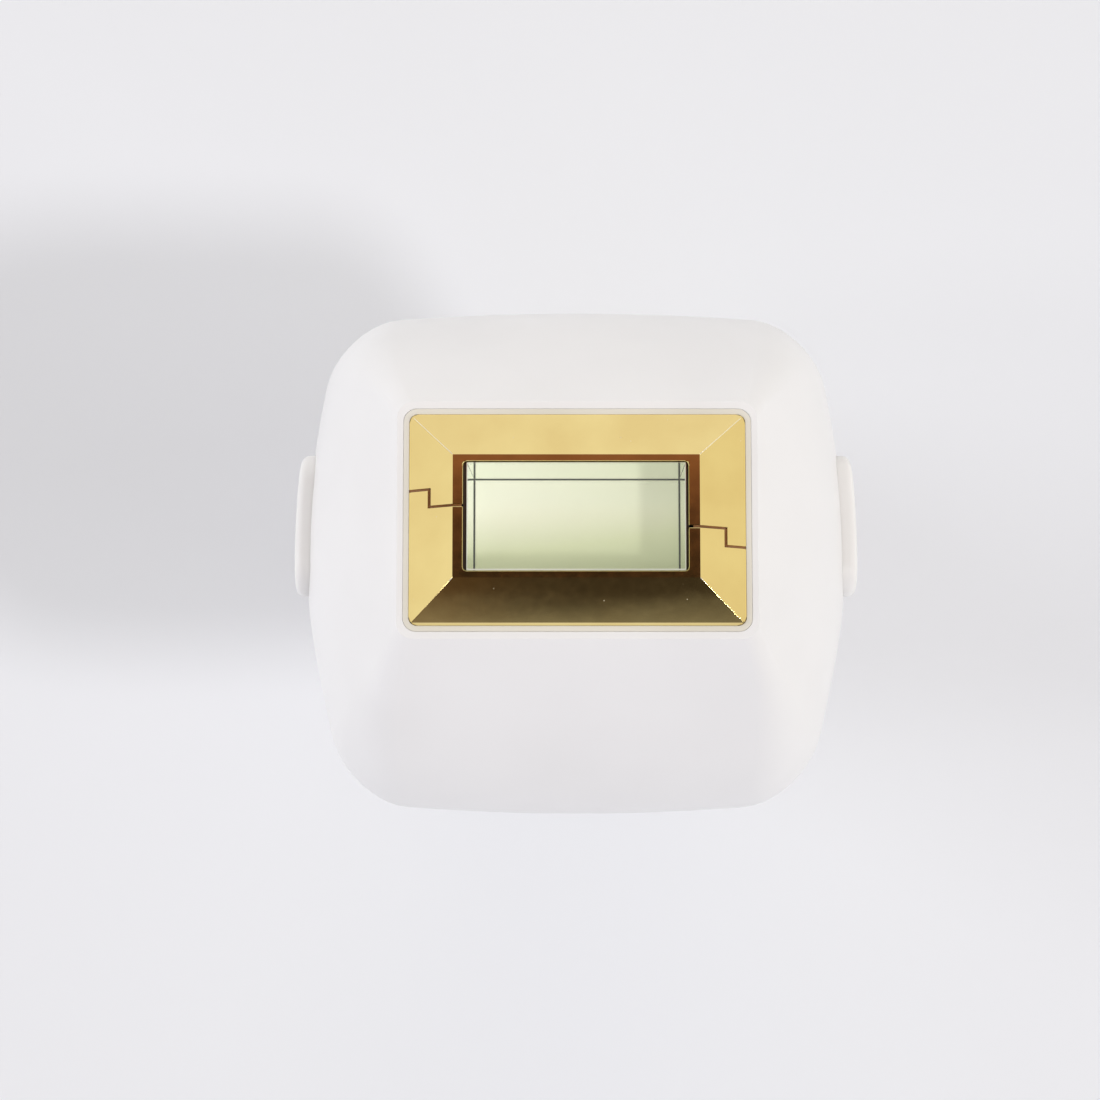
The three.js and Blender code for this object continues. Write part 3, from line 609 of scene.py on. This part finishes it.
def seal():
    outer = box_section((FRAME_HALF[0] + SEAL_WIDTH, FRAME_HALF[1] + SEAL_WIDTH), 1.5)
    inner = box_section((FRAME_HALF[0] + 0.02, FRAME_HALF[1] + 0.02), 1.0)
    ring = tube_ring("seal_ring", outer, inner, 24.9, 27.0, 0.06, IN_HEAD)
    return finish(ring, "lamp_head", "seal_ivory", IVORY, "window_seal")


def electrode(name, half_turn):
    """One half of the gold frame: ledge, slope and land round the aperture, cut along the step."""
    def ring(half, corner, z, shift=0.0, rise=0.0):
        return [point + Vector((shift, rise, 0)) for point in level(box_section(half, corner), z, 3, 2)]

    rings = [
        ring(FRAME_HALF, 1.0, FRAME_BACK_Z),
        ring(FRAME_HALF, 1.0, 27.0),
        ring((FRAME_HALF[0] - 0.3, FRAME_HALF[1] - 0.3), 0.08, 27.2),
        ring((16.05, 9.3), 0.04, 28.36, LAND_SHIFT / 2),
        ring(LAND_HALF, 0.04, LAND_Z, LAND_SHIFT),
        ring((APERTURE_HALF[0] + 0.07, APERTURE_HALF[1] + 0.04), 0.5, LAND_Z, APERTURE_SHIFT, -0.03),
        ring(APERTURE_HALF, 0.45, 29.3, APERTURE_SHIFT),
        ring(APERTURE_HALF, 0.45, FRAME_BACK_Z, APERTURE_SHIFT),
    ]
    half = skin(f"electrode_{name}_plate", rings, loop=True, place=IN_HEAD, sharp=20)
    carve(half, split_block(half_turn), "INTERSECT", 20)
    soften(half, 0.07, 60, 2, 5, even=False)
    return finish(half, "lamp_head", "gold_plate", GOLD, f"electrode_{name}")


def split_block(half_turn):
    """What lies above the stepped line across the frame, or its half turn."""
    near, far = SPLIT_Y
    step, gap = SPLIT_STEP_X, SPLIT_HALF_GAP
    line = [
        (-25, far + gap), (-step + gap, far + gap), (-step + gap, near + gap), (-8, near + gap),
        (8, -near + gap), (step + gap, -near + gap), (step + gap, -far + gap), (25, -far + gap),
        (25, 20), (-25, 20),
    ]
    sign = -1 if half_turn else 1
    rings = [[Vector((sign * x, sign * y, z)) for x, y in line] for z in (22, 32)]
    return skin("split_block", rings, place=IN_HEAD)


def mitre_edges():
    """A painted highlight along each mitre of the frame: a fine rounded edge in a paler gold, so that it
    shows as a bright line.
    """
    edges = []
    for sx in (-1, 1):
        for sy in (-1, 1):
            low = Vector((sx * (FRAME_HALF[0] - 0.42), sy * (FRAME_HALF[1] - 0.42), 27.24))
            high = Vector((sx * LAND_HALF[0] + LAND_SHIFT, sy * LAND_HALF[1], 29.375))
            if sy < 0:
                low = low.lerp(high, 0.9)
            length = (high - low).length
            profile = [(0, 0.01), (0.3, 0.055), (length - 0.1, 0.06), (length, 0.01)]
            edges.append(turned("edge", profile, low, high - low, 8, IN_HEAD, 60))
    line = merged("mitre_edges", edges, 60)
    return finish(line, "lamp_head", "gold_plate", GOLD_HIGHLIGHT)


def split_insulator():
    """The brown strip between the two halves of the frame, just below its surface."""
    near, far = SPLIT_Y
    half_width, below, slope_fall = 0.3, 0.3, 2.1
    slope_run = FRAME_HALF[0] - 0.3 - LAND_HALF[0]
    pieces = []
    for sign in (-1, 1):
        line = [(12.9, -near), (SPLIT_STEP_X, -near), (SPLIT_STEP_X, -far), (FRAME_HALF[0], -far)]
        for (x0, y0), (x1, y1) in zip(line, line[1:]):
            rings = []
            for x, y in ((x0, y0), (x1, y1)):
                z = LAND_Z - below - slope_fall * max(0, x - LAND_HALF[0]) / slope_run
                dx, dy = (half_width, 0) if x0 == x1 else (0, half_width)
                rings.append([
                    Vector((sign * (x + dx * a), sign * (y + dy * a), z + rise))
                    for a, rise in ((-1, 0), (-1, -1.2), (1, -1.2), (1, 0))
                ])
            pieces.append(skin("strip", rings, place=IN_HEAD))
    strip = merged("split_insulator", pieces)
    return finish(strip, "lamp_head", "gold_plate", GAP_BROWN)


def window_pane():
    """A thick clear pane with a ground edge, and the dark gasket that holds it in the aperture."""
    def ring(by, z, rise=0.0):
        points = level(inset(PANE, by), z, 4, 2)
        return [point + Vector((PANE_SHIFT, rise, 0)) for point in points]

    rings = [ring(0.1, 27.7), ring(0, 27.8), ring(0, 29.1), ring(0.1, WINDOW_TOP_Z, 0.06)]
    pane = skin("window_pane", rings, place=IN_HEAD, sharp=20)
    finish(pane, "lamp_head", "window_glass", WINDOW, "flash_window")
    pane.data.materials.append(GROUND_EDGE)
    for polygon in pane.data.polygons:
        if 0.3 < polygon.normal.dot(HEAD_AXIS) < 0.95:
            polygon.material_index = 1
    gasket_z = 28.7
    inner = [point + Vector((PANE_SHIFT, 0, 0)) for point in level(inset(PANE, -0.07), gasket_z, 4, 2)]
    outer = level(box_section((APERTURE_HALF[0] - 0.01, APERTURE_HALF[1] - 0.01), 0.43), gasket_z, 4, 2)
    outer = [point + Vector((APERTURE_SHIFT, 0, 0)) for point in outer]
    down = Vector((0, 0, -0.5))
    rings = [outer, inner, [point + down for point in inner], [point + down for point in outer]]
    gasket = skin("window_gasket", rings, loop=True, place=IN_HEAD)
    finish(gasket, "lamp_head", "black_plastic", GASKET_BROWN)


def tunnel():
    """The tunnel's thin mirrored walls and the dark line where they meet the filter."""
    z0, z1 = TUNNEL_Z

    def ring(section, z, shift=0.0):
        return [point + Vector((shift, 0, 0)) for point in level(section, z, 4, 2)]

    narrow = box_section(TUNNEL_BACK_HALF, 0.03)
    wide = box_section((PANE["half_x"] + 0.01, PANE["half_y"] + 0.01), 0.06)
    outer = inset(PANE, -0.06)
    flange = box_section(FILTER_HALF, 0.6)
    rings = [
        ring(flange, z0),
        ring(flange, z0 + 0.8),
        ring(inset(narrow, -0.3), z0 + 0.8),
        ring(inset(outer, -0.2), TUNNEL_STEP_Z[0], PANE_SHIFT),
        ring(outer, TUNNEL_STEP_Z[1], PANE_SHIFT),
        ring(outer, z1, PANE_SHIFT),
        ring(wide, z1, PANE_SHIFT),
        ring(narrow, z0),
    ]
    walls = skin("tunnel_walls", rings, loop=True, place=IN_HEAD, sharp=5)
    finish(walls, "lamp_head", "mirror_metal", MIRROR, "light_tunnel")
    behind = box_section((TUNNEL_BACK_HALF[0] + 0.02, TUNNEL_BACK_HALF[1] + 0.02), 0.03)
    edge = box_section((TUNNEL_BACK_HALF[0] - 0.11, TUNNEL_BACK_HALF[1] - 0.1), 0.03)
    low, high = z0 + 0.01, z0 + 0.04
    line = [ring(behind, low), ring(behind, high), ring(edge, high), ring(edge, low)]
    gasket = skin("tunnel_gasket", line, loop=True, place=IN_HEAD, sharp=20)
    finish(gasket, "lamp_head", "black_plastic", DARK_LINE)
    glass = slab("filter_pane", box_section(FILTER_HALF, 0.6), *FILTER_Z, 0.1, IN_HEAD, 4, 2)
    finish(glass, "lamp_head", "filter_glass", FILTER, "cutoff_filter")


def release_spring(side, name):
    """A coil spring behind a release button, built at rest with a mesh of its own; in the device the button
    squeezes it as it goes in.
    """
    inner, outer, radius, wire = 23.25, 26.3, 1.3, 0.2
    turns, steps = 4, 16
    rings = []
    for k in range(turns * steps + 1):
        turn = 2 * math.pi * k / steps
        share = k / (turns * steps)
        x = inner + wire + (outer - inner - 2 * wire) * share
        out = Vector((0, math.cos(turn), math.sin(turn)))
        middle = Vector((side * x, RELEASE_Y, RELEASE_Z)) + radius * out
        rings.append([
            middle + wire * (math.cos(a) * out + math.sin(a) * Vector((1, 0, 0)))
            for a in (2 * math.pi * j / 8 for j in range(8))
        ])
    coil = skin(f"spring_{name}", rings, place=IN_HEAD)
    finish(coil, "lamp_head", "steel", STEEL, f"release_spring_{name}")
    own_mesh(coil)


def head_underside():
    """The contact pins under the head, with round ends."""
    for i, x in enumerate((-8, 0, 8), 1):
        profile = [(-18.5, 0.02), (-18.45, 0.5), (-18.1, 0.95), (-17.5, 1.2), (-9, 1.2), (-8.8, 1.05),
                   (-8.4, 1.05), (-8.2, 1.2), (-4.7, 1.2), (-4.7, 0.02)]
        pin = turned(f"contact_plunger_{i}", profile, (x, -14, 0), (0, 0, 1), 24, IN_HEAD)
        finish(pin, "lamp_head", "brass", BRASS, f"contact_pin_{i}")


# ---------------------------------------------------------------- grip


def grip_row(z):
    """The grip's section at a height, on a smooth curve through the driving sections."""
    rows = GRIP_SECTIONS
    last = len(rows) - 2
    i = min(max(sum(1 for row in rows if row[0] <= z) - 1, 0), last)
    before, start, end, after = rows[max(i - 1, 0)], rows[i], rows[i + 1], rows[min(i + 2, last + 1)]
    span = end[0] - start[0]
    t = (z - start[0]) / span
    values = []
    for k in range(1, 8):
        slope_start = (end[k] - before[k]) / (end[0] - before[0]) * span
        slope_end = (after[k] - start[k]) / (after[0] - start[0]) * span
        values.append(
            (2 * t ** 3 - 3 * t ** 2 + 1) * start[k] + (t ** 3 - 2 * t ** 2 + t) * slope_start
            + (3 * t ** 2 - 2 * t ** 3) * end[k] + (t ** 3 - t ** 2) * slope_end
        )
    return values


def grip_section(z):
    _, _, half_x, half_y, corner, bow_x, bow_y = grip_row(z)
    pinch = WIDEST["pinch"] * ease((z - 60) / 60)
    return dict(half_x=half_x, half_y=half_y, corner=corner, bow_x=bow_x, bow_y=bow_y, pinch=pinch)


def grip_ring(z, by, along=0.0, arc=14, side=18):
    y, lean = grip_row(z)[:2]
    turn = Matrix.Translation((0, y, z)) @ Matrix.Rotation(-math.radians(lean), 4, "X")
    return [turn @ point for point in level(inset(grip_section(z), by), along, arc, side)]


def grip_front(x, z):
    """The y of the grip's front face."""
    section = grip_section(z)
    return grip_row(z)[0] - section["half_y"] + section["bow_y"] * (x / section["half_x"]) ** 2


def grip_tube():
    bottom, top = GRIP_SECTIONS[0][0], GRIP_SECTIONS[-1][0]
    steps = 44
    heights = [bottom + (top - bottom) * k / steps for k in range(steps + 1)]
    rings = [grip_ring(bottom, 0.25, 0)]
    rings += [grip_ring(z, 0, 0.25 if k == 0 else -0.25 if k == steps else 0) for k, z in enumerate(heights)]
    rings += [grip_ring(top, 0.25, 0)]
    rings += [grip_ring(z, WALL) for z in reversed(heights[::4])]
    return skin("grip_tube", rings, loop=True)


def cutting_box(low, high):
    (x0, y0, z0), (x1, y1, z1) = low, high
    section = ((x0, y0), (x1, y0), (x1, y1), (x0, y1))
    return skin("box", [[Vector((x, y, z)) for x, y in section] for z in (z0, z1)])


def front_shell():
    shell = grip_tube()
    shell.name = "front_cover"
    carve(shell, cutting_box((-60, -60, -5), (60, -PARTING_HALF_GAP, 150)), "INTERSECT")
    holes = [
        pill_along_y("hole", (FLASH_HALF[0] + 0.2, FLASH_HALF[1] + 0.2), -40, -12, 0, FLASH_Z),
        pill_along_y("hole", (POWER_HALF[0] + 0.2, POWER_HALF[1] + 0.2), -40, -12, 0, POWER_Z),
    ]
    for x in LEVEL_X:
        holes.append(turned("hole", [(-40, 1.0), (-12, 1.0)], (x, 0, LEVEL_Z), (0, 1, 0), 20))
    carve(shell, merged("holes", holes))
    soften(shell, 0.15, 50)
    return finish(shell, "handle", "shell_white", WHITE, "front_shell")


def rear_shell():
    shell = grip_tube()
    shell.name = "rear_cover"
    carve(shell, cutting_box((-60, PARTING_HALF_GAP, -5), (60, 60, 150)), "INTERSECT")
    holes = [turned("hole", [(12, 5.15), (40, 5.15)], (0, 0, INLET_Z), (0, 1, 0), 40)]
    for row in range(VENT_ROWS):
        z = FAN_Z + (row - (VENT_ROWS - 1) / 2) * VENT_PITCH
        holes.append(pill_along_y("hole", VENT_HALF, 10, 40, 0, z))
    for x, z in CASE_SCREWS_AT:
        holes.append(turned("hole", [(6.2, 2.6), (40, 2.6)], (x, 0, z), (0, 1, 0), 28))
    carve(shell, merged("holes", holes))
    soften(shell, 0.15, 50)
    finish(shell, "handle", "shell_white", WHITE, "rear_shell")
    for i, (x, z) in enumerate(CASE_SCREWS_AT, 1):
        well = turned("well", [(5.9, 0.3), (5.9, 3.3), (15, 3.3), (15, 2.62), (6.25, 2.62), (6.25, 0.3)],
                      (x, 0, z), (0, 1, 0), 28)
        well.name = f"screw_well_{i}"
        carve(well, skin("core", [grip_ring(z + dz, 0.7) for dz in (-5, 0, 5)]), "INTERSECT")
        finish(well, "handle", "shell_white", WHITE)


def case_screws():
    for i, (x, z) in enumerate(CASE_SCREWS_AT, 1):
        screw = cross_head("screw", (x, 6.3, z), (0, 1, 0), 2.1, 1.3)
        screw.name = f"case_screw_head_{i}"
        finish(screw, "handle", "steel", STEEL, f"case_screw_{i}")


def cross_head(name, at, along, radius, height, place=IN_DEVICE):
    """A low domed screw head with a cross recess, and its shank's first stretch."""
    profile = [(-3, 0.02), (-3, 1.0), (0, 1.0), (0, radius - 0.1), (0.1, radius), (height * 0.5, radius),
               (height * 0.8, radius * 0.9), (height * 0.95, radius * 0.6), (height, 0.02)]
    head = turned(name, profile, at, along, 32, place)
    along = Vector(along)
    across = along.orthogonal().normalized()
    other = along.cross(across)
    bars = []
    for long_way, short_way in ((across, other), (other, across)):
        middle = Vector(at) + along * height
        rings = []
        for depth, reach in ((-0.7, 0.7), (0.3, 1.35)):
            corners = [(1, 1), (-1, 1), (-1, -1), (1, -1)]
            rings.append([
                middle + along * depth + long_way * reach * a + short_way * 0.22 * b for a, b in corners
            ])
        bars.append(skin("bar", rings, place=place))
    for bar in bars:
        carve(head, bar)
    return head


def collar():
    top = grip_section(GRIP_SECTIONS[-1][0])
    ring = tube_ring("collar_band", inset(top, 0.45), inset(top, 3.4), *COLLAR_Z, 0.25, IN_HEAD)
    return finish(ring, "handle", "gold_plate", GOLD_TRIM, "collar_ring")


def base_cap():
    section = grip_section(GRIP_SECTIONS[0][0])
    recess = box_section((15.65, 12.65), 6.1)
    profile = [
        (2.6, 0.8), (1.9, 0.86), (1.3, 1.1), (0.8, 1.5), (0.45, 2.1), (0.2, 3.0), (0.05, 4.2), (0, 5.5),
        (0, 7.9), (0.2, 8.1), (WALL + 0.25, 8.1), (WALL + 0.25, 11.6), (WALL + 2, 11.6), (WALL + 2, 4.6),
    ]
    rings = [level(recess, 2.0), level(recess, 0.95), level(inset(recess, -0.15), 0.8)]
    rings += [level(inset(section, by), z) for by, z in profile]
    cap = skin("foot_cap", rings)
    return finish(cap, "handle", "shell_white", WHITE, "base_cap")


def foot():
    """A rubber pad with two shallow grooves round its tread."""
    section = box_section((15.5, 12.5), 6)
    profile = [
        (6.2, 0.4), (5.9, 0.05), (5.7, 0), (4.3, 0), (4.1, 0.05), (3.8, 0.4), (3.2, 0.4), (2.9, 0.05),
        (2.7, 0), (0.5, 0), (0.15, 0.12), (0, 0.45), (0, 1.5), (0.2, 1.7),
    ]
    pad = skin("foot_pad", [level(inset(section, by), z) for by, z in profile])
    return finish(pad, "handle", "foot_rubber", RUBBER, "rubber_foot")


def front_button(name, node, body, half, z, back, dish, material, slot):
    """A button that follows the grip's face, stands proud of it and has a softly dished middle."""
    section = box_section(half, half[0] - 0.02)
    depth = half[0]
    profile = [(0, -1.3), (0, 0.45), (0.06, 0.65), (0.2, 0.82), (0.45, BUTTON_PROUD)]
    for k in range(1, 9):
        sunk = dish * math.sin(math.pi / 2 * k / 8) ** 2
        profile.append((0.45 + (depth - 0.6) * k / 8, BUTTON_PROUD - sunk))
    rings = [[Vector((p.x, back, z + p.y)) for p in outline(**section, side=10)]]
    for by, proud in profile:
        rings.append([
            Vector((p.x, grip_front(p.x, z + p.y) - proud, z + p.y))
            for p in outline(**inset(section, by), side=10)
        ])
    pad = skin(name, rings)
    flange = pill_along_y("flange", (half[0] + 1.1, half[1] + 1.1), back - 1.0, back, 0, z)
    stem = turned("stem", [(back, 2.0), (back + 0.6, 2.0)], (0, 0, z), (0, 1, 0), 20)
    return finish(merged(name, [pad, flange, stem]), body, slot, material, node)


def power_mark():
    """The plain on-off mark, a broken ring with a bar, set in the power button."""
    half, radius = 0.16, 1.35

    def button_face(x, z):
        return grip_front(x, POWER_Z + z) - BUTTON_PROUD - 0.02

    def strip(points):
        rings = []
        for (x, z), (nx, nz) in points:
            y = button_face(x, z) + 0.28
            rings.append([
                Vector((x - nx * half, y - 0.06, POWER_Z + z - nz * half)),
                Vector((x + nx * half, y - 0.06, POWER_Z + z + nz * half)),
                Vector((x + nx * half, y + 0.25, POWER_Z + z + nz * half)),
                Vector((x - nx * half, y + 0.25, POWER_Z + z - nz * half)),
            ])
        return skin("strip", rings)

    turns = [math.radians(125 + 290 * k / 28) for k in range(29)]
    arc = strip([((radius * math.cos(t), radius * math.sin(t)), (math.cos(t), math.sin(t))) for t in turns])
    bar = strip([((0, z), (1, 0)) for z in (0.5, 1.1, 1.8)])
    mark = merged("power_mark", [arc, bar])
    return finish(mark, "power_key", "gold_plate", GOLD_TRIM)


def level_lights():
    bar = cutting_box((-9.6, -15.7, LEVEL_Z - 1.8), (9.6, -14.4, LEVEL_Z + 1.8))
    domes = []
    for x in LEVEL_X:
        y = grip_front(x, LEVEL_Z)
        profile = [
            (-15, 0.85), (y + 0.12, 0.85), (y + 0.02, 0.78),
            (y - 0.06, 0.55), (y - 0.1, 0.3), (y - 0.11, 0.02),
        ]
        domes.append(turned("dome", profile, (x, 0, LEVEL_Z), (0, 1, 0), 20))
    lights = merged("level_lenses", [bar, *domes])
    return finish(lights, "handle", "light_guide", LIGHT_GUIDE, "level_light")


def inlet():
    profile = [
        (9, 0.5), (9, 5.0), (18.9, 5.0), (19.15, 4.85), (19.3, 4.6), (19.3, 3.5), (19.1, 3.25), (18.8, 3.2),
        (10, 3.2), (10, 0.5),
    ]
    barrel = turned("inlet_barrel", profile, (0, 0, INLET_Z), (0, 1, 0), 40)
    body = cutting_box((-5.5, 6, INLET_Z - 5.2), (5.5, 9.5, INLET_Z + 5))
    finish(merged("inlet_socket", [barrel, body]), "handle", "black_plastic", BLACK, "dc_inlet")
    tip = [(10.3, 0.02), (10.3, 1.0), (17.4, 1.0), (17.8, 0.8), (18, 0.45), (18, 0.02)]
    pin = turned("inlet_tip", tip, (0, 0, INLET_Z), (0, 1, 0), 20)
    finish(pin, "handle", "brass", BRASS, "dc_inlet_pin")


# ---------------------------------------------------------------- stage, light and camera


def floor():
    size = 4.0
    shape = bmesh.new()
    bmesh.ops.create_grid(shape, x_segments=8, y_segments=8, size=size)
    ground = from_bmesh("floor", shape)
    material, tree, shader, coords = new_material("floor_paper")
    tone = noise(tree, coords, 6, 3)
    stops = [(0.35, (0.785, 0.80, 0.825)), (0.65, (0.805, 0.82, 0.845))]
    tree.links.new(ramp(tree, tone, stops), shader.inputs["Base Color"])
    spread(tree, noise(tree, coords, 300, 4), 0.6, 0.75, shader.inputs["Roughness"])
    ground.data.materials.append(material)


def studio():
    """A pale room, dark overhead: the gold mirrors bright walls at its sides and shade from above."""
    world = bpy.data.worlds.new("studio")
    bpy.context.scene.world = world
    world.use_nodes = True
    tree = world.node_tree
    coords = tree.nodes.new("ShaderNodeTexCoord")
    separate = tree.nodes.new("ShaderNodeSeparateXYZ")
    tree.links.new(coords.outputs["Generated"], separate.inputs["Vector"])
    toward = separate.outputs

    def share(source, start, end, most=1.0):
        node = tree.nodes.new("ShaderNodeMapRange")
        node.interpolation_type = "SMOOTHSTEP"
        node.inputs["From Min"].default_value = start
        node.inputs["From Max"].default_value = end
        node.inputs["To Max"].default_value = most
        tree.links.new(source, node.inputs["Value"])
        return node.outputs["Result"]

    def mixed(factor, first, second):
        node = tree.nodes.new("ShaderNodeMix")
        node.data_type = "RGBA"
        tree.links.new(factor, node.inputs["Factor"])
        for socket, color in ((node.inputs[6], first), (node.inputs[7], second)):
            if isinstance(color, tuple):
                socket.default_value = (*color, 1)
            else:
                tree.links.new(color, socket)
        return node.outputs[2]

    half_way = tree.nodes.new("ShaderNodeMapRange")
    half_way.inputs["From Min"].default_value = -1.0
    tree.links.new(toward["Y"], half_way.inputs["Value"])
    front_to_back = half_way.outputs["Result"]
    walls = ramp(tree, front_to_back, [
        (0.1, (0.84, 0.84, 0.92)), (0.5, (0.97, 0.96, 0.94)), (0.9, (0.98, 0.97, 1.0)),
    ])
    walls = mixed(share(toward["X"], 0.35, 0.85), walls, (0.93, 0.89, 0.80))
    ceiling = ramp(tree, front_to_back, [
        (0.3, (0.046, 0.036, 0.03)), (0.5, (0.038, 0.03, 0.025)), (0.668, (0.024, 0.019, 0.014)),
        (0.677, (0.10, 0.042, 0.028)), (0.687, (0.47, 0.20, 0.125)), (0.9, (0.5, 0.3, 0.22)),
    ])
    lit_corner = mixed(share(toward["X"], 0.0, -0.06, 0.8), ceiling, (0.185, 0.095, 0.045))
    ceiling = mixed(share(toward["Y"], 0.0, -0.3), ceiling, lit_corner)
    sky = mixed(share(toward["Z"], 0.76, 0.87), walls, ceiling)
    tree.links.new(sky, tree.nodes["Background"].inputs["Color"])


def softbox(name, target, direction, distance, size, power, color):
    """A round soft light that the camera doesn't see. Only the small ones show in reflections."""
    light = bpy.data.lights.new(name, "AREA")
    light.shape = "DISK"
    light.size = size
    light.energy = power
    light.color = color
    lamp = bpy.data.objects.new(name, light)
    lamp.location = target + distance * Vector(direction).normalized()
    lamp.rotation_euler = Vector(direction).to_track_quat("Z", "Y").to_euler()
    lamp.visible_camera = False
    lamp.visible_glossy = size < 0.5
    bpy.context.scene.collection.objects.link(lamp)


def lights():
    head = HEAD_ORIGIN
    softbox("key_right", head, (0.41, -0.135, 0.90), 1.6, 0.17, 6.0, (1.0, 0.98, 1.0))
    softbox("key_left", head, (-0.42, -0.065, 0.905), 1.6, 0.17, 0.9, (1.0, 0.98, 0.98))
    softbox("side_left", head, (-0.9, 0.22, 0.42), 1.7, 1.0, 7.7, (0.95, 0.96, 1.0))
    softbox("side_right", head, (0.9, -0.15, 0.42), 1.7, 1.0, 4.2, (0.95, 0.96, 1.0))
    softbox("back", head, (0, 0.85, 0.5), 1.7, 1.0, 1.0, (1.0, 1.0, 0.5))


def camera():
    """Almost straight above the window, at the distance and field that frame the head as in the photo."""
    distance, field = 0.45, 0.1222
    beside_window = Vector((-3.06, -3.78, 0)) * MM
    data = bpy.data.cameras.new("camera")
    data.sensor_width = 36
    data.lens = 36 * distance / field
    data.clip_start = 0.01
    data.clip_end = 20
    eye = bpy.data.objects.new("camera", data)
    window = HEAD_ORIGIN + HEAD_AXIS * WINDOW_TOP_Z * MM
    eye.location = window + beside_window + Vector((0, 0, distance))
    bpy.context.scene.collection.objects.link(eye)
    bpy.context.scene.camera = eye


# ---------------------------------------------------------------- the whole scene

paint_cad_nodes()
head_shell()
for side, name in ((-1, "left"), (1, "right")):
    release_button(side, name)
    release_spring(side, name)
seal()
electrode("upper", False)
electrode("lower", True)
mitre_edges()
split_insulator()
window_pane()
tunnel()
head_underside()
front_shell()
rear_shell()
case_screws()
collar()
base_cap()
foot()
front_button(
    "flash_key", "flash_button", "flash_trigger",
    FLASH_HALF, FLASH_Z, FLASH_BACK_Y, FLASH_DISH, GOLD_TRIM, "gold_plate",
)
front_button(
    "power_key_cap", "power_button", "power_key",
    POWER_HALF, POWER_Z, POWER_BACK_Y, POWER_DISH, WHITE_KEY, "shell_white",
)
power_mark()
level_lights()
inlet()
floor()
studio()
lights()
camera()
bpy.context.scene.view_settings.view_transform = "Standard"
